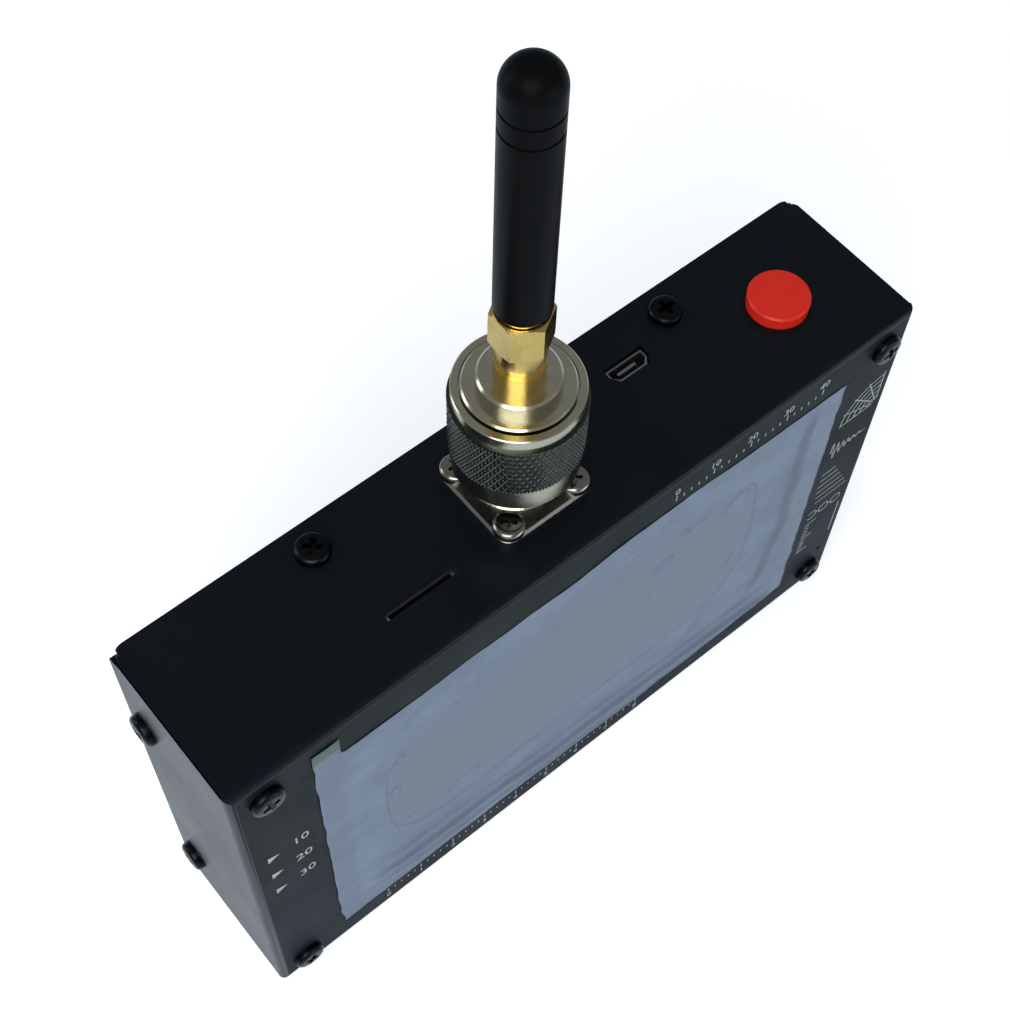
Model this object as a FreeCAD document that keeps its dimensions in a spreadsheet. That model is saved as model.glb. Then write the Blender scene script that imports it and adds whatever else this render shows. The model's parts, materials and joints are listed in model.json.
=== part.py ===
"""Handheld antenna analyzer with a screw-on coaxial adapter and a stub antenna.

Millimetres. +X is the width seen from the front, the screen faces -Y and the
connector points up +Z. The origin is the centre of the base that it stands on.
"""
import FreeCAD, Part
import os
from math import cos, radians, sin
from types import SimpleNamespace

import Sketcher

Vector = FreeCAD.Vector

SIZES = [
    # the folded sheet case
    ("case_width", 136.0, "overall width"),
    ("case_depth", 30.0, "overall depth of the folded case"),
    ("case_height", 88.5, "height without the connector"),
    ("sheet_gauge", 1.2, "sheet of the front shell and the back cover"),
    ("bend_radius", 1.5, "outer radius of the folds round the front panel"),
    ("wall_corner", 2.6, "radius of the free corners of the walls"),
    ("seam_gap", 0.3, "open seam between neighbouring walls"),
    ("cover_gap", 0.15, "play of the back cover inside the walls"),
    ("ear_width", 14.0, "width of a bent ear of the back cover"),
    ("ear_depth", 9.5, "depth of a bent ear from the back face"),
    ("ear_relief", 1.0, "width of the relief cut beside an ear"),
    # the screen and what stands behind it
    ("display_side_gap", 0.65, "display module from the spacers beside it"),
    ("display_end_gap", 1.55, "display module's ends from the line of the screws"),
    ("display_side_lap", 3.8, "display module behind the panel beside the opening"),
    ("display_end_lap", 3.2, "display module behind the panel above and below the opening"),
    ("display_gauge", 3.6, "display module"),
    ("display_lip", 0.3, "depth of the display glass in its metal frame"),
    ("display_rim", 0.8, "metal rim of the display under the edge of the touch glass"),
    ("window_corner", 1.0, "corner radius of the opening"),
    ("glass_gap", 0.25, "play of the touch glass in the opening"),
    ("gasket_gauge", 0.6, "gasket between the panel and the display module"),
    ("film_gauge", 0.15, "protective film"),
    ("film_left_inset", 1.4, "film inside the left edge of the opening"),
    ("film_right_inset", 0.8, "film inside the right edge of the opening"),
    ("film_low_lap", 3.15, "film below the opening"),
    ("film_high_lap", 1.85, "film above the opening"),
    ("film_tab_width", 5.2, "pull tab of the film"),
    ("film_tab_lap", 7.05, "pull tab above the opening"),
    ("foam_gauge", 1.6, "foam between the display and its board"),
    ("board_gauge", 1.6, "both circuit boards"),
    ("display_board_side", 0.6, "display board from the side walls"),
    ("display_board_end", 1.35, "display board from the top and bottom walls"),
    ("main_board_side", 2.3, "main board from the side walls"),
    ("main_board_end", 2.05, "main board from the top and bottom walls"),
    ("jack_notch_width", 26.0, "notch of both boards round the jack nuts"),
    ("jack_notch_depth", 5.0, "notch of both boards round the jack nuts"),
    # fasteners of the case
    ("front_screw_side", 5.8, "front screws from the sides of the panel"),
    ("front_screw_end", 6.0, "front screws from the top and bottom of the panel"),
    ("screw_radius", 1.5, "shank of the case screws"),
    ("screw_play", 0.2, "radial play of a screw in its hole"),
    ("head_radius", 2.85, "pan head of the case screws"),
    ("head_height", 1.55, "pan head of the case screws"),
    ("front_screw_length", 14.0, "shank of a front screw"),
    ("short_screw_length", 5.0, "shank of the screws round the back cover"),
    ("post_radius", 2.75, "spacers and standoffs"),
    ("top_screw_side", 35.2, "top screws from the centre"),
    ("cover_screw_back", 5.1, "screws of the back cover from the back face"),
    ("side_screw_low", 13.4, "lower side screw above the base"),
    ("side_screw_pitch", 57.0, "distance between the side screws"),
    ("insert_radius", 2.05, "barrel of a pressed nut in an ear"),
    ("insert_head_radius", 2.9, "head of a pressed nut"),
    ("insert_head_height", 2.0, "head of a pressed nut"),
    ("insert_play", 0.05, "radial play of a pressed nut in its ear"),
    # the sockets in the top wall
    ("card_left", 27.0, "memory card slot, left of the centre"),
    ("card_slot_width", 13.1, "slot in the top wall"),
    ("card_slot_height", 1.65, "slot in the top wall"),
    ("card_socket_length", 15.0, "card socket behind the slot"),
    ("card_socket_gauge", 1.9, "card socket behind the slot"),
    ("card_gauge", 0.9, "free height inside the card socket"),
    ("usb_right", 23.8, "charging socket, right of the centre"),
    ("usb_width", 7.6, "shell of the charging socket"),
    ("usb_gauge", 2.9, "shell of the charging socket"),
    ("usb_wall", 0.35, "sheet of the charging socket's shell"),
    ("usb_length", 5.6, "shell of the charging socket"),
    ("usb_play", 0.25, "gap between the shell and the top wall"),
    ("usb_recess", 0.7, "mouth of the shell below the top face"),
    ("usb_tab", 1.4, "solder tabs of the shell"),
    ("usb_offset", 1.5, "axis of the charging socket behind the main board's front"),
    # the push button and its switch
    ("button_side", 17.1, "button axis from the right side"),
    ("button_radius", 5.25, "button cap"),
    ("button_proud", 2.2, "button cap above the top face"),
    ("button_play", 0.2, "radial play of the cap in the wall"),
    ("button_skirt", 1.9, "cap below the top face"),
    ("button_travel", 1.8, "travel of the button"),
    ("button_edge", 0.3, "chamfer of the cap's rim"),
    ("button_rest", 0.55, "pressed cap above the switch housing"),
    ("switch_side", 8.0, "square switch housing"),
    ("switch_length", 12.0, "square switch housing"),
    ("switch_post", 3.0, "square post of the switch"),
    ("switch_play", 0.15, "play of the post in its housing"),
    # the pin-hole reset switch
    ("reset_side", 4.0, "pin hole from the right side"),
    ("reset_high", 12.4, "pin hole above the base"),
    ("pin_hole_radius", 0.6, "pin hole in the panel"),
    ("reset_body_side", 3.2, "housing of the reset switch"),
    ("reset_body_height", 1.6, "housing of the reset switch"),
    ("reset_post_radius", 0.65, "plunger of the reset switch"),
    ("reset_post_length", 2.6, "plunger in front of its housing"),
    ("reset_travel", 0.25, "travel of the plunger"),
    # inside pieces
    ("battery_width", 60.0, "flat battery"),
    ("battery_height", 50.0, "flat battery"),
    ("battery_gauge", 6.0, "flat battery"),
    ("battery_left", 22.0, "battery centre, left of the centre"),
    ("battery_drop", 4.25, "battery centre below the middle of the height"),
    ("battery_gap", 1.2, "battery from the main board"),
    ("battery_edge", 1.5, "rounding of the battery"),
    ("tape_gauge", 0.6, "foam tape under the battery"),
    ("shield_width", 24.0, "screening can"),
    ("shield_height", 20.0, "screening can"),
    ("shield_gauge", 3.0, "screening can"),
    ("shield_rise", 18.75, "screening can centre above the middle of the height"),
    ("header_width", 50.8, "connector between the boards"),
    ("header_gauge", 5.0, "connector between the boards"),
    ("header_rise", 6.75, "connector centre above the main board's lower edge"),
    # the panel jack, heights above the top face
    ("jack_left", 4.3, "connector axis, left of the centre"),
    ("jack_ahead", -0.4, "connector axis, ahead of the middle of the top"),
    ("flange_side", 17.5, "square flange"),
    ("flange_gauge", 1.9, "square flange"),
    ("flange_corner", 2.2, "corner radius of the flange"),
    ("flange_edge", 0.4, "bevel round the flange"),
    ("flange_screw_pitch", 12.7, "hole spacing of the flange"),
    ("flange_screw_radius", 1.25, "screws of the flange"),
    ("flange_head_radius", 2.55, "pan heads on the flange"),
    ("flange_head_height", 1.5, "pan heads on the flange"),
    ("flange_screw_length", 6.4, "shank of the flange screws"),
    ("flange_nut_side", 5.0, "hexagon nuts behind the flange, across flats"),
    ("flange_nut_height", 2.0, "hexagon nuts behind the flange"),
    ("jack_neck_radius", 6.2, "neck between the flange and the thread"),
    ("jack_neck_high", 5.0, "height where the thread starts"),
    ("jack_thread_radius", 7.94, "outer thread of the jack"),
    ("jack_high", 13.8, "tip of the jack"),
    ("jack_bore_radius", 4.3, "bore that takes the plug's sleeve"),
    ("jack_boss_radius", 5.8, "boss through the top wall"),
    ("jack_boss_length", 1.9, "boss through the top wall"),
    ("contact_radius", 1.5, "centre contact of the jack"),
    ("contact_tail", 8.5, "solder tail below the top face"),
    ("contact_high", 9.6, "tip of the centre contact"),
    # the adapter and its coupling nut, heights above the top face
    ("thread_play", 0.08, "radial play of a nut on its thread"),
    ("nut_low", 8.8, "bottom of the coupling nut"),
    ("nut_band_radius", 9.8, "plain band of the coupling nut"),
    ("nut_knurl_low", 13.6, "bottom of the knurled belt"),
    ("nut_knurl_high", 24.15, "top of the knurled belt"),
    ("nut_knurl_radius", 10.2, "knurled belt"),
    ("nut_high", 26.6, "top of the coupling nut"),
    ("nut_top_radius", 9.72, "top ring of the coupling nut"),
    ("nut_recess_radius", 8.6, "recess round the adapter's disc"),
    ("nut_recess_depth", 1.2, "recess round the adapter's disc"),
    ("nut_thread_depth", 6.2, "threaded depth of the coupling nut"),
    ("neck_radius", 7.05, "neck of the adapter in the coupling nut"),
    ("disc_radius", 8.3, "disc of the adapter"),
    ("disc_high", 27.3, "top of the disc"),
    ("disc_gauge", 1.4, "thickness of the disc"),
    ("hub_radius", 6.15, "hub of the adapter"),
    ("hub_high", 29.55, "top of the hub"),
    ("hub_edge", 0.35, "chamfer of the hub"),
    ("sleeve_radius", 4.15, "outer contact sleeve of the adapter"),
    ("sleeve_wall", 0.6, "outer contact sleeve of the adapter"),
    ("sleeve_depth", 6.5, "sleeve below the tip of the jack"),
    ("seal_gauge", 1.0, "rubber ring on the tip of the jack"),
    ("ring_gauge", 0.9, "snap ring that holds the coupling nut"),
    ("ring_depth", 0.45, "bite of the snap ring into each piece"),
    ("ring_play", 0.06, "play of the snap ring in its grooves"),
    ("ring_high", 20.6, "height of the snap ring"),
    ("pin_radius", 0.8, "centre pin of the adapter"),
    ("pin_drop", 8.2, "centre pin below the tip of the jack"),
    # the small jack on the adapter and the antenna
    ("small_base_radius", 3.75, "plated base of the small jack"),
    ("small_base_high", 32.6, "top of the plated base"),
    ("small_relief_radius", 3.5, "relief under the hexagon nut"),
    ("small_thread_low", 34.2, "start of the small thread"),
    ("small_thread_radius", 3.17, "small thread"),
    ("small_jack_high", 39.4, "tip of the small jack"),
    ("small_bore_radius", 2.35, "mouth of the small jack"),
    ("small_bore_depth", 1.9, "mouth of the small jack"),
    ("dielectric_radius", 2.05, "white insulators"),
    ("small_pin_radius", 0.46, "pin of the antenna"),
    ("hex_skirt_radius", 3.82, "round skirt of the hexagon nut"),
    ("hex_low", 34.5, "bottom of the hexagon nut"),
    ("hex_start", 37.4, "start of the flats"),
    ("hex_high", 44.1, "top of the hexagon nut"),
    ("hex_side", 8.0, "hexagon nut across flats"),
    ("hex_edge", 0.45, "chamfer of the hexagon nut"),
    ("ferrule_radius", 2.75, "ferrule inside the hexagon nut"),
    ("ferrule_flange", 0.35, "flange of the ferrule that the hexagon nut pulls down"),
    ("collar_radius", 3.55, "collar of the ferrule above the nut"),
    ("stem_radius", 2.2, "ferrule inside the sheath"),
    ("stem_length", 6.0, "ferrule inside the sheath"),
    ("sheath_radius", 4.08, "rubber sheath"),
    ("sheath_low", 45.35, "bottom of the sheath"),
    ("sheath_high", 88.8, "tip of the sheath"),
    ("sheath_bore", 2.85, "bore of the sheath"),
    ("sheath_dome", 3.9, "rounding of the tip"),
    ("sheath_wall_end", 5.5, "solid rubber under the tip"),
    ("ring_groove", 0.5, "width of the grooves near the tip"),
    ("ring_groove_depth", 0.14, "depth of the grooves near the tip"),
    ("lower_groove", 78.5, "lower groove"),
    ("upper_groove", 81.7, "upper groove"),
    ("coil_radius", 2.4, "winding inside the sheath, over its wire"),
    ("coil_wire", 0.8, "thickness of the winding's wire"),
    ("coil_length", 26.0, "length of the winding"),
    ("coil_seat", 0.5, "disc of the antenna pin that the winding stands on"),
]


class Size:
    """A length in millimetres with the expression that binds it to the sheet."""

    def __init__(self, value, text):
        self.value = value
        self.text = text

    def joined(self, sign, other, value):
        return Size(value, f"({self.text} {sign} {other.text})")

    def __add__(self, other):
        other = as_size(other)
        return self.joined("+", other, self.value + other.value)

    def __sub__(self, other):
        other = as_size(other)
        return self.joined("-", other, self.value - other.value)

    def __mul__(self, other):
        other = as_size(other)
        return self.joined("*", other, self.value * other.value)

    def __truediv__(self, other):
        other = as_size(other)
        return self.joined("/", other, self.value / other.value)

    def __radd__(self, other):
        return as_size(other) + self

    def __rsub__(self, other):
        return as_size(other) - self

    def __rmul__(self, other):
        return as_size(other) * self

    def __neg__(self):
        return as_size(0.0) - self


def as_size(item):
    """A plain number becomes a size without a name."""
    if isinstance(item, Size):
        return item
    return Size(float(item), f"{float(item):.6f}")


os.makedirs("parts", exist_ok=True)
doc = FreeCAD.newDocument("antenna_analyzer")
sheet = doc.addObject("Spreadsheet::Sheet", "Sizes")
for row, (alias, amount, note) in enumerate(SIZES, start=1):
    sheet.set(f"A{row}", note)
    sheet.set(f"B{row}", f"{amount}")
    sheet.setAlias(f"B{row}", alias)
doc.recompute()
dim = SimpleNamespace(**{alias: Size(amount, f"Sizes.{alias}") for alias, amount, note in SIZES})

pieces = []


# Helpers for bodies, sketches and features

def place(item, x=0.0, y=0.0, z=0.0):
    """Put an object at a point given by sizes."""
    for axis, size in (("x", x), ("y", y), ("z", z)):
        item.setExpression(f"Placement.Base.{axis}", as_size(size).text)


def new_body(label, x=0.0, y=0.0, z=0.0):
    """A body of its own for one piece."""
    body = doc.addObject("PartDesign::Body", label)
    body.Label = label
    place(body, x, y, z)
    pieces.append(body)
    return body


def origin_plane(body, role):
    """One of the body's own origin planes."""
    return next(item for item in body.Origin.OriginFeatures if item.Role == role)


def new_sketch(body, plane, out=0.0, shift=(0.0, 0.0)):
    """A sketch on an origin plane, moved out along its normal and sideways."""
    sketch = body.newObject("Sketcher::SketchObject", f"{body.Name}_sketch")
    sketch.AttachmentSupport = [(origin_plane(body, f"{plane}_Plane"), "")]
    sketch.MapMode = "FlatFace"
    for axis, size in (("x", shift[0]), ("y", shift[1]), ("z", out)):
        sketch.setExpression(f"AttachmentOffset.Base.{axis}", as_size(size).text)
    return sketch


def pin_point(sketch, shape, point, u, v):
    """Tie a point of a shape to its two coordinates."""
    for kind, axis, size in (("DistanceX", -2, as_size(u)), ("DistanceY", -1, as_size(v))):
        if abs(size.value) < 1e-9:
            sketch.addConstraint(Sketcher.Constraint("PointOnObject", shape, point, axis))
        else:
            rule = sketch.addConstraint(Sketcher.Constraint(kind, -1, 1, shape, point, size.value))
            sketch.setExpression(f"Constraints[{rule}]", size.text)


def draw(sketch, points):
    """A closed outline of straight edges through points given by sizes."""
    corners = [(as_size(u), as_size(v)) for u, v in points]
    spots = [Vector(u.value, v.value, 0) for u, v in corners]
    first = sketch.GeometryCount
    count = len(corners)
    for index, spot in enumerate(spots):
        sketch.addGeometry(Part.LineSegment(spot, spots[(index + 1) % count]), False)
    for index in range(count):
        after = first + (index + 1) % count
        sketch.addConstraint(Sketcher.Constraint("Coincident", first + index, 2, after, 1))
    for index, (u, v) in enumerate(corners):
        pin_point(sketch, first + index, 1, u, v)


def draw_box(sketch, left, right, low, high):
    """A rectangle."""
    draw(sketch, [(left, low), (right, low), (right, high), (left, high)])


def draw_circle(sketch, u, v, radius):
    """A circle."""
    centre = Vector(as_size(u).value, as_size(v).value, 0)
    radius = as_size(radius)
    index = sketch.addGeometry(Part.Circle(centre, Vector(0, 0, 1), radius.value), False)
    pin_point(sketch, index, 3, u, v)
    rule = sketch.addConstraint(Sketcher.Constraint("Radius", index, radius.value))
    sketch.setExpression(f"Constraints[{rule}]", radius.text)


def draw_corner_scrap(sketch, u, v, turn_u, turn_v, radius):
    """The waste outside a rounded corner: two straight edges and an arc."""
    u, v, radius = as_size(u), as_size(v), as_size(radius)
    along = u - turn_u * radius
    across = v - turn_v * radius
    corner = Vector(u.value, v.value, 0)
    start = Vector(along.value, v.value, 0)
    end = Vector(u.value, across.value, 0)
    centre = Vector(along.value, across.value, 0)
    middle = centre + Vector(turn_u, turn_v, 0).normalize() * radius.value
    first = sketch.GeometryCount
    sketch.addGeometry(Part.LineSegment(end, corner), False)
    sketch.addGeometry(Part.LineSegment(corner, start), False)
    arc = sketch.addGeometry(Part.Arc(start, middle, end), False)
    ends = (1, 2) if turn_u * turn_v < 0 else (2, 1)
    sketch.addConstraint(Sketcher.Constraint("Coincident", first, 2, first + 1, 1))
    sketch.addConstraint(Sketcher.Constraint("Coincident", first + 1, 2, arc, ends[0]))
    sketch.addConstraint(Sketcher.Constraint("Coincident", arc, ends[1], first, 1))
    pin_point(sketch, first + 1, 1, u, v)
    pin_point(sketch, first + 1, 2, along, v)
    pin_point(sketch, first, 1, u, across)
    rule = sketch.addConstraint(Sketcher.Constraint("Radius", arc, radius.value))
    sketch.setExpression(f"Constraints[{rule}]", radius.text)


def pad(body, sketch, length, reverse=False):
    """Add the sketch as a prism along its normal, or against it."""
    feature = body.newObject("PartDesign::Pad", f"{body.Name}_pad")
    feature.Profile = sketch
    feature.setExpression("Length", as_size(length).text)
    feature.Reversed = reverse
    doc.recompute()
    return feature


def checked_cut(body, feature, before):
    """Make sure that a cut has taken something away."""
    doc.recompute()
    if not feature.Shape.Volume < before - 1e-6:
        raise ValueError(f"{feature.Label} cuts nothing")
    body.Tip = feature
    return feature


def pocket(body, sketch, length=None, reverse=False):
    """Cut the sketch against its normal; without a length through everything."""
    before = body.Tip.Shape.Volume
    feature = body.newObject("PartDesign::Pocket", f"{body.Name}_pocket")
    feature.Profile = sketch
    if length is None:
        feature.Type = "ThroughAll"
        feature.Midplane = True
    else:
        feature.setExpression("Length", as_size(length).text)
        feature.Reversed = reverse
    return checked_cut(body, feature, before)


def turn(body, sketch, axis="V_Axis"):
    """Add the sketch as a full turn about its own axis."""
    feature = body.newObject("PartDesign::Revolution", f"{body.Name}_turned")
    feature.Profile = sketch
    feature.ReferenceAxis = (sketch, [axis])
    feature.Angle = 360
    doc.recompute()
    return feature


def groove(body, sketch, axis="V_Axis"):
    """Cut the sketch as a full turn about its own axis."""
    before = body.Tip.Shape.Volume
    feature = body.newObject("PartDesign::Groove", f"{body.Name}_groove")
    feature.Profile = sketch
    feature.ReferenceAxis = (sketch, [axis])
    feature.Angle = 360
    return checked_cut(body, feature, before)


def dress(body, kind, amount, test):
    """Round or chamfer every edge of the body that passes the test."""
    base = body.Tip
    names = [f"Edge{index}" for index, edge in enumerate(base.Shape.Edges, start=1) if test(edge)]
    if not names:
        raise ValueError(f"{body.Label} has no edge to dress")
    feature = body.newObject(f"PartDesign::{kind}", f"{body.Name}_{kind.lower()}")
    feature.Base = (base, names)
    feature.setExpression("Radius" if kind == "Fillet" else "Size", as_size(amount).text)
    doc.recompute()
    return feature


def mirror_all(body, feature, planes):
    """Repeat a feature in the body's origin planes, one after the other."""
    whole = body.newObject("PartDesign::MultiTransform", f"{body.Name}_copies")
    steps = []
    for plane in planes:
        step = doc.addObject("PartDesign::Mirrored", f"{body.Name}_mirror")
        body.addObject(step)
        step.MirrorPlane = (origin_plane(body, f"{plane}_Plane"), [""])
        steps.append(step)
    whole.Originals = [feature]
    whole.Transformations = steps
    body.Tip = whole
    doc.recompute()
    return whole


def repeat_round(body, feature, count):
    """Repeat a feature round the body's Z axis."""
    pattern = body.newObject("PartDesign::PolarPattern", f"{body.Name}_pattern")
    pattern.Originals = [feature]
    pattern.Axis = (next(item for item in body.Origin.OriginFeatures if item.Role == "Z_Axis"), [""])
    pattern.Angle = 360
    pattern.Occurrences = count
    body.Tip = pattern
    doc.recompute()
    return pattern


def flat(edge, axis, level):
    """True for an edge that lies at one level along an axis."""
    box = edge.BoundBox
    low, high = {"x": (box.XMin, box.XMax), "y": (box.YMin, box.YMax), "z": (box.ZMin, box.ZMax)}[axis]
    return abs(low - level) < 1e-4 and abs(high - level) < 1e-4


def along(edge, axis):
    """True for a straight edge parallel to an axis."""
    box = edge.BoundBox
    spans = {"x": box.XLength, "y": box.YLength, "z": box.ZLength}
    reach = spans.pop(axis)
    return reach > 1e-3 and max(spans.values()) < 1e-4 and edge.Curve.TypeId == "Part::GeomLine"


def block(label, low, size):
    """A plain rectangular piece from its lowest corner and its three sizes."""
    item = doc.addObject("Part::Box", label)
    item.Label = label
    for prop, amount in zip(("Length", "Width", "Height"), size):
        item.setExpression(prop, as_size(amount).text)
    place(item, *low)
    pieces.append(item)
    return item


def turned(label, profile, x=0.0, y=0.0, z=0.0):
    """A piece turned about its Z axis from pairs of radius and height."""
    body = new_body(label, x, y, z)
    sketch = new_sketch(body, "XZ")
    draw(sketch, profile)
    turn(body, sketch)
    return body


def screw_profile(head_radius, head_height, shank_radius, shank_length):
    """Radius and height of a pan-head screw whose head rests at height nought."""
    crown = 0.62 * head_radius
    return [(0.0, -shank_length), (shank_radius, -shank_length), (shank_radius, 0.0),
            (head_radius, 0.0), (head_radius, 0.55 * head_height), (crown, head_height),
            (0.0, head_height)]


# Places that several pieces share

half_width = dim.case_width / 2
half_depth = dim.case_depth / 2
mid_height = dim.case_height / 2
wall_side_inside = half_width - dim.sheet_gauge
wall_top_inside = dim.case_height - dim.sheet_gauge
inner_rise = mid_height - dim.sheet_gauge

front_screw_x = half_width - dim.front_screw_side
front_screw_z = mid_height - dim.front_screw_end
screw_hole = dim.screw_radius + dim.screw_play

display_half = front_screw_x - dim.post_radius - dim.display_side_gap
display_rise = front_screw_z - dim.display_end_gap
window_half = display_half - dim.display_side_lap
window_rise = display_rise - dim.display_end_lap
glass_half = window_half - dim.glass_gap
glass_rise = window_rise - dim.glass_gap

panel_inside = dim.sheet_gauge - half_depth
glass_back = panel_inside + dim.gasket_gauge
display_back = glass_back + dim.display_gauge
display_board_front = display_back + dim.foam_gauge
display_board_back = display_board_front + dim.board_gauge
cover_inside = half_depth - dim.sheet_gauge
battery_back = cover_inside - dim.tape_gauge
main_board_back = battery_back - dim.battery_gauge - dim.battery_gap
main_board_front = main_board_back - dim.board_gauge
board_spacing = main_board_front - display_board_back

cover_screw_y = half_depth - dim.cover_screw_back
cover_half_width = wall_side_inside - dim.cover_gap
cover_low = dim.sheet_gauge + dim.cover_gap
cover_high = dim.case_height - cover_low

jack_x = -dim.jack_left
jack_y = -dim.jack_ahead
half_pitch = dim.flange_screw_pitch / 2
button_x = half_width - dim.button_side
housing_top = dim.case_height - dim.button_skirt - dim.button_travel - dim.button_rest
reset_x = half_width - dim.reset_side
usb_y = main_board_front + dim.usb_offset
card_y = display_board_back + dim.card_socket_gauge / 2


def usb_outline(grow):
    """Six corners of the charging socket's shell seen from above, grown all round."""
    half = dim.usb_width / 2 + grow
    short = 0.72 * half
    back = usb_y + dim.usb_gauge / 2 + grow
    front = usb_y - dim.usb_gauge / 2 - grow
    middle = usb_y - 0.05 * dim.usb_gauge
    centre = dim.usb_right
    return [(centre - half, back), (centre + half, back), (centre + half, middle),
            (centre + short, front), (centre - short, front), (centre - half, middle)]


# Front shell: a sheet folded back on four sides

def make_front_shell():
    body = new_body("front_shell")
    back_plane = -half_depth
    outline = new_sketch(body, "XZ", back_plane)
    draw_box(outline, -half_width, half_width, 0.0, dim.case_height)
    pad(body, outline, dim.case_depth)
    front = -half_depth.value
    dress(body, "Fillet", dim.bend_radius, lambda edge: flat(edge, "y", front))

    hollow = new_sketch(body, "XZ", back_plane)
    draw_box(hollow, -wall_side_inside, wall_side_inside, dim.sheet_gauge, wall_top_inside)
    pocket(body, hollow, dim.case_depth - dim.sheet_gauge, reverse=True)
    inside = panel_inside.value
    dress(body, "Fillet", dim.bend_radius - dim.sheet_gauge, lambda edge: flat(edge, "y", inside))

    for level, reverse in ((dim.case_height, False), (as_size(0.0), True)):
        corners = new_sketch(body, "XY", level)
        for side in (-1.0, 1.0):
            draw_corner_scrap(corners, side * half_width, half_depth, side, 1.0, dim.wall_corner)
        pocket(body, corners, dim.sheet_gauge, reverse)
    for level, reverse in ((half_width, False), (-half_width, True)):
        corners = new_sketch(body, "YZ", level)
        draw_corner_scrap(corners, half_depth, dim.case_height, 1.0, 1.0, dim.wall_corner)
        draw_corner_scrap(corners, half_depth, as_size(0.0), 1.0, -1.0, dim.wall_corner)
        pocket(body, corners, dim.sheet_gauge, reverse)

    seams = new_sketch(body, "XZ", back_plane)
    lean = dim.seam_gap * (0.5 * sin(radians(45)))
    outer, inner = dim.sheet_gauge, -2.0 * dim.sheet_gauge
    for side in (-1.0, 1.0):
        for rise, level in ((1.0, dim.case_height), (-1.0, as_size(0.0))):
            u, v = side * half_width, level
            draw(seams, [(u + side * (outer + lean), v + rise * (outer - lean)),
                         (u + side * (inner + lean), v + rise * (inner - lean)),
                         (u + side * (inner - lean), v + rise * (inner + lean)),
                         (u + side * (outer - lean), v + rise * (outer + lean))])
    pocket(body, seams, dim.case_depth - dim.bend_radius, reverse=True)

    window = new_sketch(body, "XZ", half_depth)
    draw_box(window, -window_half, window_half, mid_height - window_rise, mid_height + window_rise)
    pocket(body, window, 2.0 * dim.sheet_gauge)
    edge_x = window_half.value
    dress(body, "Fillet", dim.window_corner,
          lambda edge: along(edge, "y") and abs(abs(edge.BoundBox.XMin) - edge_x) < 1e-4)

    front_holes = new_sketch(body, "XZ", half_depth)
    for side in (-1.0, 1.0):
        for rise in (-1.0, 1.0):
            draw_circle(front_holes, side * front_screw_x, mid_height + rise * front_screw_z, screw_hole)
    draw_circle(front_holes, reset_x, dim.reset_high, dim.pin_hole_radius)
    pocket(body, front_holes, 2.0 * dim.sheet_gauge)

    top_holes = new_sketch(body, "XY", dim.case_height)
    for side in (-1.0, 1.0):
        draw_circle(top_holes, side * dim.top_screw_side, cover_screw_y, screw_hole)
        for rise in (-1.0, 1.0):
            draw_circle(top_holes, jack_x + side * half_pitch, jack_y + rise * half_pitch,
                        dim.flange_screw_radius + dim.screw_play)
    draw_circle(top_holes, jack_x, jack_y, dim.jack_boss_radius + dim.screw_play)
    draw_circle(top_holes, button_x, 0.0, dim.button_radius + dim.button_play)
    slot_half = dim.card_slot_width / 2
    slot_rise = dim.card_slot_height / 2
    draw_box(top_holes, -dim.card_left - slot_half, slot_half - dim.card_left,
             card_y - slot_rise, card_y + slot_rise)
    draw(top_holes, usb_outline(dim.usb_play))
    pocket(body, top_holes, 2.0 * dim.sheet_gauge)

    side_holes = new_sketch(body, "YZ")
    for step in (0.0, 1.0):
        draw_circle(side_holes, cover_screw_y, dim.side_screw_low + step * dim.side_screw_pitch,
                    screw_hole)
    pocket(body, side_holes)


# Back cover: a plate with bent ears that stand inside the walls

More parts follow.
